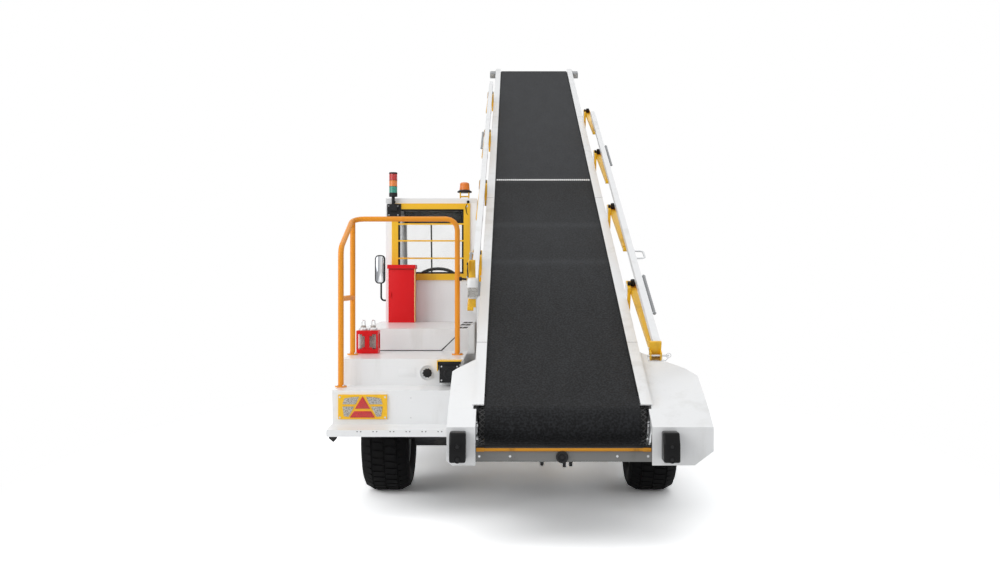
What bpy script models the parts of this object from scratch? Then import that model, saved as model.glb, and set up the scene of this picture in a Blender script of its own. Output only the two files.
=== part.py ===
"""Baggage belt loader: a small cab truck that carries a long tilting belt conveyor.

Metres. X is the vehicle's right, Y its front and Z is up. The ground is Z = 0, and X = Y = 0 is the
middle of the whole machine, conveyor included. The conveyor is modelled raised, as it parks here.
"""

import math

import bmesh
import bpy
from mathutils import Matrix, Vector

# Clearances
TOUCH = 0.0003
RUNNING = 0.006
PIN_PLAY = 0.001

# Running gear
CENTRE_X = 0.075
HALF_TRACK = 0.84
REAR_AXLE_Y = -2.37
FRONT_AXLE_Y = 0.65
TYRE_RADIUS = 0.35
TYRE_WIDTH = 0.30
RIM_RADIUS = 0.20
RIM_WALL = 0.012
RIM_WIDTH = 0.24
HUB_RADIUS = 0.06
SPINDLE_RADIUS = 0.028
AXLE_RADIUS = 0.07
KINGPIN_INSET = 0.18
KINGPIN_RADIUS = 0.014
KNUCKLE_HEIGHT = 0.10
STEER_SWEEP = 0.49
REAR_ARCH = 0.385

# Chassis frame
RAIL_HALF_SPACING = 0.44
RAIL_WIDTH = 0.07
RAIL_BOTTOM = 0.46
RAIL_TOP = 0.60
RAIL_FRONT_Y = 1.44

# Stepped body behind the cab
BODY_LEFT_X = -1.0
BODY_RIGHT_X = -0.263
BODY_REAR_Y = -3.225
BODY_BOTTOM_Z = 0.46
LOWER_STEP_Z = 0.723
UPPER_STEP_Z = 0.882
DECK_Z = 1.03
LOWER_RISER_Y = -2.915
UPPER_RISER_Y = -2.15
SHEET = 0.004
FILLER_AT = (-0.479, 0.798)  # x, z
FILLER_DEPTH = 0.022
LANTERN_X = -0.905
LANTERN_Y = -2.38
RAIL_REAR_Y = BODY_REAR_Y + SHEET + TOUCH

# Body on the right of the conveyor
SIDE_BODY_INNER_X = 0.766
SIDE_BODY_OUTER_X = 1.10
SIDE_BODY_TOP_Z = 0.755
FRONT_WING_TOP_Z = 0.86
NOSE_Y = 1.50

# Cab
CAB_LEFT_X = -0.965
CAB_RIGHT_X = -0.250
CAB_REAR_Y = -0.875
CAB_FLOOR_FRONT_Y = 0.13
CAB_FLOOR_Z = 0.64
CAB_ROOF_Z = 2.0
CAB_ROOF_THICK = 0.035
CAB_WALL = 0.04
SCREEN_BASE_Z = 1.22
SCREEN_BASE_Y = 0.36
SCREEN_TOP_Y = 0.22
WINDOW_LEFT_X = -0.867
WINDOW_RIGHT_X = -0.353
WINDOW_BOTTOM_Z = 1.407
WINDOW_TOP_Z = 1.914
WINDOW_FRAME = 0.050
FIREWALL = 0.03
DOOR_GAP = 0.004
DOOR_HINGE_OUT = 0.012
DOOR_KNUCKLE_RADIUS = 0.010
DOOR_KNUCKLES_Z = (0.86, 1.74)
GLASS = 0.006

# Conveyor. s runs up along the belt from the hinge, n is square to the belt.
INCLINE = math.radians(22.4)
HINGE_Y = -3.05
HINGE_Z = 0.62
CONVEYOR_X = 0.29
BELT_THICK = 0.010
BELT_TOP_N = 0.38
TAIL_DRUM_S = -0.70
TAIL_DRUM_RADIUS = 0.105
HEAD_DRUM_S = 7.74
HEAD_DRUM_RADIUS = 0.065
FRAME_HALF_WIDTH = 0.465
BELT_WIDTH = 2 * (FRAME_HALF_WIDTH - 0.065)
DRUM_HALF_LENGTH = FRAME_HALF_WIDTH - 0.035
FRAME_FLANGE = 0.060
FRAME_SHEET = 0.006
GUARD_BEYOND = {"left": 0.1235, "right": 0.287}  # how far a tail guard reaches past its side channel
FRAME_TOP_N = 0.39
FRAME_BOTTOM_N = 0.10
FRAME_TAIL_S = -0.70
FRAME_HEAD_S = 7.84
GUARD_REAR_Y = -4.010
GUARD_FRONT_Y = -3.45
GUARD_BOTTOM_Z = 0.425
GUARD_SLOPE_Y = (-3.24, -3.865)
GUARD_SLOPE_Z = (0.951, 0.694)
GUARD_FRONT = {  # plan of a tail guard's front: how far past the side channel, y
    "left": ((0.0, -3.34), (0.1035, -3.45), (0.1235, -3.48)),
    "right": ((0.0, -3.255), (0.231, -3.445), (0.287, -3.525)),
}
GUARD_CHAMFER = {"left": 0.030, "right": 0.095}
TAIL_BEAM_INSET = 0.021
BEAM_DEPTH = 0.08
BEAM_WIDTH = 0.05
BEAM_INSET = 0.035
BEAM_TAIL_S = -0.08
BEAM_HEAD_S = 7.2
HINGE_PIN_RADIUS = 0.018
HINGE_LUG_RADIUS = 0.045

# Lift cylinders
CYLINDER_Y = -1.90
CYLINDER_Z = 0.45
LIFT_EYE_S = 3.30
LIFT_EYE_N = -0.01
CYLINDER_HALF_SPACING = 0.12
LIFT_EYE_HALF = 0.036
LIFT_LUG_GAP = 0.008
LIFT_LUG_THICK = 0.012
LIFT_LUG_REACH = 0.19
LIFT_PIN_RADIUS = 0.016
BARREL_RADIUS = 0.045
BARREL_LENGTH = 1.75
LIFT_ROD_RADIUS = 0.025
LIFT_ROD_LENGTH = 0.95

# Guard rails beside the belt
ARM_OFFSET_X = FRAME_HALF_WIDTH + 0.0425
ARM_WIDTH = 0.036
ARM_DEPTH = 0.040
ARM_LENGTH = 1.0
ARM_FOLD = math.radians(4.6)
ARM_PIVOT_N = 0.426
RAIL_PIN_DROP = 0.050
RAIL_TUBE = 0.040
RAIL_SHIFT_X = 0.015
ARM_PIN_RADIUS = 0.008
RAIL_PIN_RADIUS = 0.006
RAIL_BOSS_RADIUS = 0.016
ARM_COUNT = 4
RAIL_TAIL = 0.050
RAIL_BEYOND = {"left": 1.107, "right": 0.547}  # rail past its last pin
ARM_ROWS = {"left": (1.263, 1.6225), "right": (0.716, 1.534)}  # first pivot's s, spacing

HANDRAIL_RADIUS = 0.0168
TURN = 16
WHEEL_TURN = 32

PAINTS = {
    "white paint": ((0.80, 0.81, 0.82), 0.35, 0.0),
    "yellow paint": ((0.86, 0.50, 0.03), 0.40, 0.0),
    "orange paint": ((0.80, 0.27, 0.02), 0.40, 0.0),
    "red paint": ((0.72, 0.02, 0.03), 0.35, 0.0),
    "dark steel": ((0.08, 0.08, 0.09), 0.55, 0.6),
    "bright steel": ((0.60, 0.61, 0.62), 0.30, 1.0),
    "black plastic": ((0.02, 0.02, 0.02), 0.50, 0.0),
    "rubber": ((0.025, 0.025, 0.027), 0.85, 0.0),
    "belt": ((0.045, 0.047, 0.05), 0.80, 0.0),
    "glass": ((0.55, 0.62, 0.60), 0.05, 0.0),
    "amber lens": ((0.85, 0.22, 0.02), 0.20, 0.0),
}


def on_belt(x, s, n):
    """World point of a point given across, along and square to the belt."""
    y = HINGE_Y + s * math.cos(INCLINE) - n * math.sin(INCLINE)
    z = HINGE_Z + s * math.sin(INCLINE) + n * math.cos(INCLINE)
    return (x, y, z)


def off_belt(y, z):
    """(s, n) of a world point in the conveyor's side view."""
    s = (y - HINGE_Y) * math.cos(INCLINE) + (z - HINGE_Z) * math.sin(INCLINE)
    n = (z - HINGE_Z) * math.cos(INCLINE) - (y - HINGE_Y) * math.sin(INCLINE)
    return (s, n)


def as_is(x, y, z):
    return (x, y, z)


def finished(mesh):
    """The bmesh with its faces pointing out, turned into a mesh."""
    bmesh.ops.recalc_face_normals(mesh, faces=mesh.faces)
    data = bpy.data.meshes.new("shape")
    mesh.to_mesh(data)
    mesh.free()
    return data


def skin(rings, close_ends=True, closed=False):
    """A mesh through rings of equally many points."""
    mesh = bmesh.new()
    rows = [[mesh.verts.new(point) for point in ring] for ring in rings]
    count = len(rows[0])
    pairs = list(zip(rows, rows[1:]))
    if closed:
        pairs.append((rows[-1], rows[0]))
    for near, far in pairs:
        for index in range(count):
            after = (index + 1) % count
            mesh.faces.new((near[index], near[after], far[after], far[index]))
    if close_ends and not closed:
        mesh.faces.new(rows[0])
        mesh.faces.new(rows[-1])
    return finished(mesh)


def prism(section, axis, low, high, place=as_is):
    """A section of (u, v) points drawn out along an axis from low to high."""
    rings = []
    for along in (low, high):
        if axis == "X":
            rings.append([place(along, u, v) for u, v in section])
        elif axis == "Y":
            rings.append([place(u, along, v) for u, v in section])
        else:
            rings.append([place(u, v, along) for u, v in section])
    return skin(rings)


def box(x, y, z, place=as_is):
    """A box from three (low, high) spans."""
    section = [(x[0], y[0]), (x[1], y[0]), (x[1], y[1]), (x[0], y[1])]
    return prism(section, "Z", z[0], z[1], place)


def circle(centre_u, centre_v, radius, count=TURN):
    points = []
    for index in range(count):
        angle = 2 * math.pi * index / count
        points.append((centre_u + radius * math.cos(angle), centre_v + radius * math.sin(angle)))
    return points


def disc(centre, axis, radius, low, high, count=TURN, place=as_is):
    """A round bar about an axis direction, through centre (two numbers)."""
    return prism(circle(centre[0], centre[1], radius, count), axis, low, high, place)


def turned(profile, centre, axis, count=TURN, place=as_is):
    """A closed ring: (along, radius) points turned about an axis through centre (two numbers)."""
    rings = []
    for index in range(count):
        angle = 2 * math.pi * index / count
        ring = []
        for along, radius in profile:
            u = centre[0] + radius * math.cos(angle)
            v = centre[1] + radius * math.sin(angle)
            if axis == "X":
                ring.append(place(along, u, v))
            elif axis == "Y":
                ring.append(place(u, along, v))
            else:
                ring.append(place(u, v, along))
        rings.append(ring)
    return skin(rings, closed=True)


def rounded(points, bend, steps=4):
    """The path through points with each inner corner rounded to a radius."""
    points = [Vector(point) for point in points]
    path = [points[0]]
    for before, corner, after in zip(points, points[1:], points[2:]):
        into = (corner - before).normalized()
        out = (after - corner).normalized()
        turn = into.angle(out)
        if turn < 0.02:
            path.append(corner)
            continue
        reach = bend * math.tan(turn / 2)
        start = corner - into * reach
        middle = start + (out - into * math.cos(turn)).normalized() * bend
        for step in range(steps + 1):
            angle = turn * step / steps
            arm = (start - middle) * math.cos(angle) + into * bend * math.sin(angle)
            path.append(middle + arm)
    path.append(points[-1])
    return path


def tube(points, radius, bend=0.0, count=10):
    """A round bar along a path, with its corners rounded."""
    path = rounded(points, bend) if bend else [Vector(point) for point in points]
    tangents = []
    for index in range(len(path)):
        near = path[max(index - 1, 0)]
        far = path[min(index + 1, len(path) - 1)]
        tangents.append((far - near).normalized())
    side = tangents[0].orthogonal().normalized()
    rings = []
    for point, tangent in zip(path, tangents):
        side = (side - tangent * side.dot(tangent)).normalized()
        over = tangent.cross(side)
        ring = []
        for step in range(count):
            angle = 2 * math.pi * step / count
            ring.append(point + side * radius * math.cos(angle) + over * radius * math.sin(angle))
        rings.append(ring)
    return skin(rings)


def paint(name):
    """The named paint as a material, made once."""
    material = bpy.data.materials.get(name)
    if material:
        return material
    colour, roughness, metallic = PAINTS[name]
    material = bpy.data.materials.new(name)
    material.use_nodes = True
    shader = material.node_tree.nodes["Principled BSDF"]
    shader.inputs["Base Color"].default_value = (*colour, 1)
    shader.inputs["Roughness"].default_value = roughness
    shader.inputs["Metallic"].default_value = metallic
    material.diffuse_color = (*colour, 1)
    return material


def joint(name, point, parent=None):
    """An empty on a joint's axis, which the moving pieces hang from."""
    empty = bpy.data.objects.new(name, None)
    bpy.context.scene.collection.objects.link(empty)
    empty.location = Vector(point) - (Vector(parent["at"]) if parent else Vector())
    empty["at"] = tuple(point)
    empty.parent = parent
    return empty


def helper(name, data, parent, collection):
    """A hidden shape that a Boolean adds or cuts."""
    shape = bpy.data.objects.new(name, data)
    shape.parent = parent
    shape.hide_render = True
    shape.display_type = "WIRE"
    collection.objects.link(shape)


def node(name, finish, parent, adds, cuts=(), more=()):
    """One solid piece: the adds joined, the cuts taken out of them, and then the more joined on."""
    origin = Vector(parent["at"]) if parent else Vector()
    for data in (*adds, *cuts, *more):
        data.transform(Matrix.Translation(-origin))
    piece = bpy.data.objects.new(name, adds[0])
    adds[0].materials.append(paint(finish))
    piece.parent = parent
    bpy.context.scene.collection.objects.link(piece)
    for label, operation, shapes in (
        ("joined", "UNION", adds[1:]), ("cut", "DIFFERENCE", cuts), ("added", "UNION", more)
    ):
        if not shapes:
            continue
        collection = bpy.data.collections.new(f"{name} {label}")
        bpy.context.scene.collection.children.link(collection)
        for index, data in enumerate(shapes):
            helper(f"{name} {label} {index}", data, parent, collection)
        change = piece.modifiers.new(label, "BOOLEAN")
        change.operation = operation
        change.operand_type = "COLLECTION"
        change.collection = collection
        change.solver = "EXACT"
    adds[0].shade_smooth()
    adds[0].set_sharp_from_angle(angle=math.radians(32))


def span(centre, half):
    return (centre - half, centre + half)


def build_wheels():
    """Four wheels, the rear axle, the front axle beam and its two knuckles."""
    axle_z = TYRE_RADIUS
    half = TYRE_WIDTH / 2
    rim_half = RIM_WIDTH / 2
    tyre_profile = [  # share of half width, radius
        (-0.80, RIM_RADIUS + TOUCH),
        (-0.97, 0.245),
        (-1.00, 0.285),
        (-0.95, 0.320),
        (-0.80, 0.342),
        (-0.45, TYRE_RADIUS),
        (0.45, TYRE_RADIUS),
        (0.80, 0.342),
        (0.95, 0.320),
        (1.00, 0.285),
        (0.97, 0.245),
        (0.80, RIM_RADIUS + TOUCH),
    ]
    corners = [  # name, side, axle's Y, steered
        ("rear_left", -1, REAR_AXLE_Y, False),
        ("rear_right", 1, REAR_AXLE_Y, False),
        ("front_left", -1, FRONT_AXLE_Y, True),
        ("front_right", 1, FRONT_AXLE_Y, True),
    ]
    for name, side, y, steered in corners:
        x = CENTRE_X + side * HALF_TRACK
        carrier = None
        if steered:
            kingpin_x = x - side * KINGPIN_INSET
            carrier = joint("steering_" + name, (kingpin_x, y, axle_z))
            build_knuckle("knuckle_" + name.split("_")[1], side, kingpin_x, x, carrier)
        wheel = joint("wheel_" + name, (x, y, axle_z), carrier)
        profile = [(x + share * half, radius) for share, radius in tyre_profile]
        node("tyre_" + name, "rubber", wheel, [turned(profile, (y, axle_z), "X", WHEEL_TURN)])
        rim = [
            (x - rim_half, RIM_RADIUS),
            (x + rim_half, RIM_RADIUS),
            (x + rim_half, RIM_RADIUS - RIM_WALL),
            (x + side * 0.03 + 0.008, RIM_RADIUS - RIM_WALL - 0.010),
            (x + side * 0.05 + 0.008, 0.085),
            (x + side * 0.05 + 0.030, HUB_RADIUS),
            (x + side * 0.05 + 0.030, SPINDLE_RADIUS + PIN_PLAY),
            (x - 0.050 + side * 0.05, SPINDLE_RADIUS + PIN_PLAY),
            (x - 0.050 + side * 0.05, HUB_RADIUS),
            (x + side * 0.05 - 0.008, 0.085),
            (x + side * 0.03 - 0.008, RIM_RADIUS - RIM_WALL - 0.010),
            (x - rim_half, RIM_RADIUS - RIM_WALL),
        ]
        node("rim_" + name, "white paint", wheel, [turned(rim, (y, axle_z), "X", WHEEL_TURN)])
    inner = HALF_TRACK - half - 0.02
    ends = (CENTRE_X - inner, CENTRE_X + inner)
    spindles = (CENTRE_X - HALF_TRACK - 0.06, CENTRE_X + HALF_TRACK + 0.06)
    rear = (REAR_AXLE_Y, axle_z)
    differential = [(-0.16, 0.075), (-0.10, 0.125), (0.10, 0.125), (0.16, 0.075)]
    rings = [(CENTRE_X + along, radius) for along, radius in differential]
    pads = []
    for rail in (-RAIL_HALF_SPACING, RAIL_HALF_SPACING):
        pads.append(box(
            span(CENTRE_X + rail, RAIL_WIDTH / 2),
            span(REAR_AXLE_Y, 0.09),
            (axle_z, RAIL_BOTTOM - TOUCH),
        ))
    node(
        "rear_axle", "dark steel", None,
        [
            disc(rear, "X", AXLE_RADIUS, *ends),
            disc(rear, "X", SPINDLE_RADIUS, *spindles),
            skin([circle_ring(x, rear, radius) for x, radius in rings]),
            *pads,
        ],
    )
    build_front_axle(axle_z)


def circle_ring(x, centre, radius, count=TURN):
    return [(x, u, v) for u, v in circle(centre[0], centre[1], radius, count)]


def build_knuckle(name, side, kingpin_x, wheel_x, carrier):
    """A steering knuckle: its kingpin boss, its spindle and its steering arm."""
    axle_z = TYRE_RADIUS
    half = KNUCKLE_HEIGHT / 2
    centre = (FRONT_AXLE_Y, axle_z)
    spindle = sorted((kingpin_x, wheel_x + side * 0.06))
    arm_y = FRONT_AXLE_Y - 0.14
    node(
        name, "dark steel", carrier,
        [
            disc((kingpin_x, FRONT_AXLE_Y), "Z", 0.032, axle_z - half, axle_z + half, 16),
            disc((kingpin_x, FRONT_AXLE_Y), "Z", KINGPIN_RADIUS, axle_z - 0.085, axle_z + 0.085, 12),
            disc(centre, "X", SPINDLE_RADIUS, *spindle, 16),
            disc(centre, "X", 0.045, *sorted((kingpin_x + side * 0.05, kingpin_x + side * 0.065)), 16),
            box(span(kingpin_x, 0.012), (arm_y, FRONT_AXLE_Y), span(axle_z - 0.03, 0.010)),
        ],
    )


def build_front_axle(axle_z):
    """The front axle beam, with a yoke round each knuckle."""
    kingpin = HALF_TRACK - KINGPIN_INSET
    half = KNUCKLE_HEIGHT / 2
    adds = [box(span(CENTRE_X, kingpin - 0.05), span(FRONT_AXLE_Y, 0.045), span(axle_z, 0.04))]
    cuts = []
    for side in (-1, 1):
        x = CENTRE_X + side * kingpin
        inner = x - side * 0.075
        adds.append(box(
            sorted((inner, inner + side * 0.030)), span(FRONT_AXLE_Y, 0.045), span(axle_z, 0.08)
        ))
        for level in (-1, 1):
            low = axle_z + level * (half + PIN_PLAY)
            high = axle_z + level * 0.08
            plate = sorted((low, high))
            adds.append(box(sorted((inner, x)), span(FRONT_AXLE_Y, 0.035), plate))
            adds.append(disc((x, FRONT_AXLE_Y), "Z", 0.035, *plate, 16))
        cuts.append(disc(
            (x, FRONT_AXLE_Y), "Z", KINGPIN_RADIUS + PIN_PLAY, axle_z - 0.12, axle_z + 0.12, 12
        ))
        rail = CENTRE_X + side * RAIL_HALF_SPACING
        adds.append(box(
            span(rail, RAIL_WIDTH / 2), span(FRONT_AXLE_Y, 0.06), (axle_z, RAIL_BOTTOM - TOUCH)
        ))
    node("front_axle_beam", "dark steel", None, adds, cuts)


def build_chassis():
    """Two rails with their cross members, the hinge beam and the body's outriggers."""
    adds = []
    for side in (-1, 1):
        adds.append(box(
            span(CENTRE_X + side * RAIL_HALF_SPACING, RAIL_WIDTH / 2),
            (RAIL_REAR_Y, RAIL_FRONT_Y),
            (RAIL_BOTTOM, RAIL_TOP),
        ))
    left_rail = CENTRE_X - RAIL_HALF_SPACING
    right_rail = CENTRE_X + RAIL_HALF_SPACING
    for y, top in ((-2.85, 0.54), (-0.90, 0.48), (0.0, 0.54), (1.30, 0.54)):
        adds.append(box((left_rail, right_rail), span(y, 0.04), (RAIL_BOTTOM + 0.01, top)))
    hinge_half = FRAME_HALF_WIDTH
    adds.append(box(span(CONVEYOR_X, hinge_half), span(HINGE_Y, 0.06), (0.44, 0.52)))
    adds.append(box((left_rail, CONVEYOR_X), span(HINGE_Y, 0.06), (0.44, 0.52)))
    lug = FRAME_HALF_WIDTH - BEAM_INSET
    cheek_gap = BEAM_WIDTH / 2 + RUNNING
    for side in (-1, 1):
        middle = CONVEYOR_X + side * lug
        for offset in (-1, 1):
            plate = span(middle + offset * (cheek_gap + 0.006), 0.006)
            cheek = [(HINGE_Y - 0.06, 0.50), (HINGE_Y + 0.06, 0.50)]
            for angle in range(0, 181, 20):
                turn = math.radians(angle)
                cheek.append((
                    HINGE_Y + 0.04 * math.cos(turn), HINGE_Z + 0.04 * math.sin(turn)
                ))
            adds.append(prism(cheek, "X", *plate))
        adds.append(disc((HINGE_Y, HINGE_Z), "X", HINGE_PIN_RADIUS, *span(middle, cheek_gap + 0.010)))
    for y in (-3.0, -1.75, -0.95):
        adds.append(box(
            (BODY_LEFT_X + SHEET + TOUCH, left_rail), span(y, 0.03), (0.49, 0.55)
        ))
        adds.append(box(
            (right_rail, SIDE_BODY_OUTER_X - SHEET - TOUCH), span(y, 0.03), (0.49, 0.55)
        ))
    adds.append(box((BODY_LEFT_X, SIDE_BODY_OUTER_X), (NOSE_Y + TOUCH, NOSE_Y + 0.08), (0.38, 0.62)))
    adds.append(box(
        span(CENTRE_X, RAIL_HALF_SPACING + RAIL_WIDTH / 2),
        (RAIL_FRONT_Y - 0.02, NOSE_Y + 0.01),
        (RAIL_BOTTOM, RAIL_TOP),
    ))
    trunnion = (CYLINDER_Y, CYLINDER_Z)
    for side in (-1, 1):
        x = CONVEYOR_X + side * (CYLINDER_HALF_SPACING + BARREL_RADIUS + 0.016)
        adds.append(box(span(x, 0.008), span(CYLINDER_Y, 0.045), (CYLINDER_Z - 0.04, 0.47)))
    adds.append(box(
        (left_rail, right_rail), (CYLINDER_Y - 0.14, CYLINDER_Y - 0.08), (CYLINDER_Z - 0.05, 0.50)
    ))
    for side in (-1, 1):
        x = CONVEYOR_X + side * (CYLINDER_HALF_SPACING + BARREL_RADIUS + 0.016)
        adds.append(box(
            span(x, 0.008), (CYLINDER_Y - 0.12, CYLINDER_Y), (CYLINDER_Z - 0.04, CYLINDER_Z + 0.03)
        ))
    cuts = []
    for side in (-1, 1):
        x = CONVEYOR_X + side * (CYLINDER_HALF_SPACING + BARREL_RADIUS + 0.016)
        cuts.append(disc(trunnion, "X", HINGE_PIN_RADIUS + PIN_PLAY, *span(x, 0.02)))
    node("chassis_frame", "dark steel", None, adds, cuts)


def shell(profile, inner, x_low, x_high):
    """An open-bottomed sheet body: a profile drawn across, less the same drawn in by the sheet."""
    outer = prism(profile, "X", x_low, x_high)
    hollow = prism(inner, "X", x_low + SHEET, x_high - SHEET)
    return outer, hollow


def frame_gap(rear_y, front_y):
    """The space over the left rail, which the sheet bodies' inner walls leave open for the frame."""
    rail = CENTRE_X - RAIL_HALF_SPACING
    return box((rail - 0.06, BODY_RIGHT_X + 0.05), (rear_y, front_y), (0.40, RAIL_TOP + 0.004))


def build_step_body():
    """The stepped sheet body behind the cab, the filler recess and the rear wheel's arch."""
    front = CAB_REAR_Y - TOUCH
    profile = [  # y, z
        (BODY_REAR_Y, BODY_BOTTOM_Z),
        (BODY_REAR_Y, LOWER_STEP_Z),
        (LOWER_RISER_Y, LOWER_STEP_Z),
        (LOWER_RISER_Y, UPPER_STEP_Z),
        (UPPER_RISER_Y, UPPER_STEP_Z),
        (UPPER_RISER_Y, DECK_Z),
        (front, DECK_Z),
        (front, BODY_BOTTOM_Z),
    ]
    inner = [
        (BODY_REAR_Y + SHEET, BODY_BOTTOM_Z - 0.02),
        (BODY_REAR_Y + SHEET, LOWER_STEP_Z - SHEET),
        (LOWER_RISER_Y + SHEET, LOWER_STEP_Z - SHEET),
        (LOWER_RISER_Y + SHEET, UPPER_STEP_Z - SHEET),
        (UPPER_RISER_Y + SHEET, UPPER_STEP_Z - SHEET),
        (UPPER_RISER_Y + SHEET, DECK_Z - SHEET),
        (front - SHEET, DECK_Z - SHEET),
        (front - SHEET, BODY_BOTTOM_Z - 0.02),
    ]
    outer, hollow = shell(profile, inner, BODY_LEFT_X, BODY_RIGHT_X)
    arch = disc(
        (REAR_AXLE_Y, TYRE_RADIUS), "X", 0.43, BODY_LEFT_X - 0.01, BODY_LEFT_X + 0.45, 48
    )
    gap = frame_gap(BODY_REAR_Y + SHEET, CAB_REAR_Y)
    mouth = disc(FILLER_AT, "Y", 0.045, LOWER_RISER_Y - 0.01, LOWER_RISER_Y + 0.02)
    top = 0.531
    plate = [
        (BODY_REAR_Y + 0.002, top),
        (-3.40, 0.520),
        (-3.40, 0.482),
        (-3.396, 0.482),
        (-3.396, 0.516),
        (BODY_REAR_Y + 0.002, top - 0.004),
    ]
    more = filler(FILLER_AT, LOWER_RISER_Y)
    more.append(prism(plate, "X", -1.005, -0.327))
    node("step_body", "white paint", None, [outer], [hollow, arch, mouth, gap], more)


def filler(centre, y):
    """The filler's round recess, and the cap in it."""
    wall = [(y, 0.0445), (y + FILLER_DEPTH, 0.0445), (y + FILLER_DEPTH, 0.049), (y, 0.049)]
    return [
        turned(wall, centre, "Y"),
        disc(centre, "Y", 0.049, y + FILLER_DEPTH - 0.004, y + FILLER_DEPTH),
        disc(centre, "Y", 0.024, y - 0.012, y + FILLER_DEPTH - 0.002),
        box(span(centre[0], 0.005), (y - 0.018, y), span(centre[1], 0.020)),
    ]


def build_side_body():
    """The low sheet body on the right, with both right wheels' arches."""
    profile = [  # y, z
        (-3.15, BODY_BOTTOM_Z),
        (-3.15, 0.68),
        (-3.05, SIDE_BODY_TOP_Z),
        (0.05, SIDE_BODY_TOP_Z),
        (0.16, FRONT_WING_TOP_Z),
        (1.25, FRONT_WING_TOP_Z),
        (NOSE_Y, 0.76),
        (NOSE_Y, BODY_BOTTOM_Z),
    ]
    inner = [
        (-3.15 + SHEET, BODY_BOTTOM_Z - 0.02),
        (-3.15 + SHEET, 0.68 - SHEET),
        (-3.05 + SHEET, SIDE_BODY_TOP_Z - SHEET),
        (0.05 + SHEET, SIDE_BODY_TOP_Z - SHEET),
        (0.16 + SHEET, FRONT_WING_TOP_Z - SHEET),
        (1.25 - SHEET, FRONT_WING_TOP_Z - SHEET),
        (NOSE_Y - SHEET, 0.76 - SHEET),
        (NOSE_Y - SHEET, BODY_BOTTOM_Z - 0.02),
    ]
    outer, hollow = shell(profile, inner, SIDE_BODY_INNER_X, SIDE_BODY_OUTER_X)
    across = (SIDE_BODY_INNER_X - 0.01, SIDE_BODY_OUTER_X + 0.01)
    cuts = [hollow]
    cuts.append(disc((REAR_AXLE_Y, TYRE_RADIUS), "X", REAR_ARCH, *across, 48))
    cuts.append(disc((FRONT_AXLE_Y, TYRE_RADIUS), "X", STEER_SWEEP, *across, 48))
    cuts.append(box(
        (SIDE_BODY_INNER_X - 0.01, SIDE_BODY_INNER_X + 0.02), (-3.2, NOSE_Y - 0.02), (0.40, 0.62)
    ))
    node("right_body", "white paint", None, [outer], cuts)


def build_nose():
    """The hood ahead of the cab with the left front wheel's arch, and the front bumper."""
    profile = [  # y, z
        (CAB_FLOOR_FRONT_Y + TOUCH, BODY_BOTTOM_Z),
        (CAB_FLOOR_FRONT_Y + TOUCH, SCREEN_BASE_Z - 0.01),
        (SCREEN_BASE_Y + 0.02, SCREEN_BASE_Z - 0.01),
        (1.25, 1.02),
        (NOSE_Y, 0.88),
        (NOSE_Y, BODY_BOTTOM_Z),
    ]
    inner = [
        (CAB_FLOOR_FRONT_Y + SHEET, BODY_BOTTOM_Z - 0.02),
        (CAB_FLOOR_FRONT_Y + SHEET, SCREEN_BASE_Z - 0.01 - SHEET),
        (SCREEN_BASE_Y + 0.02, SCREEN_BASE_Z - 0.01 - SHEET),
        (1.25 - SHEET, 1.02 - SHEET),
        (NOSE_Y - SHEET, 0.88 - SHEET),
        (NOSE_Y - SHEET, BODY_BOTTOM_Z - 0.02),
    ]
    outer, hollow = shell(profile, inner, CAB_LEFT_X, CAB_RIGHT_X)
    cuts = [hollow, frame_gap(0.0, NOSE_Y + 0.1)]
    cuts.append(disc(
        (FRONT_AXLE_Y, TYRE_RADIUS), "X", STEER_SWEEP, CAB_LEFT_X - 0.1, CAB_LEFT_X + 0.55, 48
    ))
    node("front_hood", "white paint", None, [outer], cuts)


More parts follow.
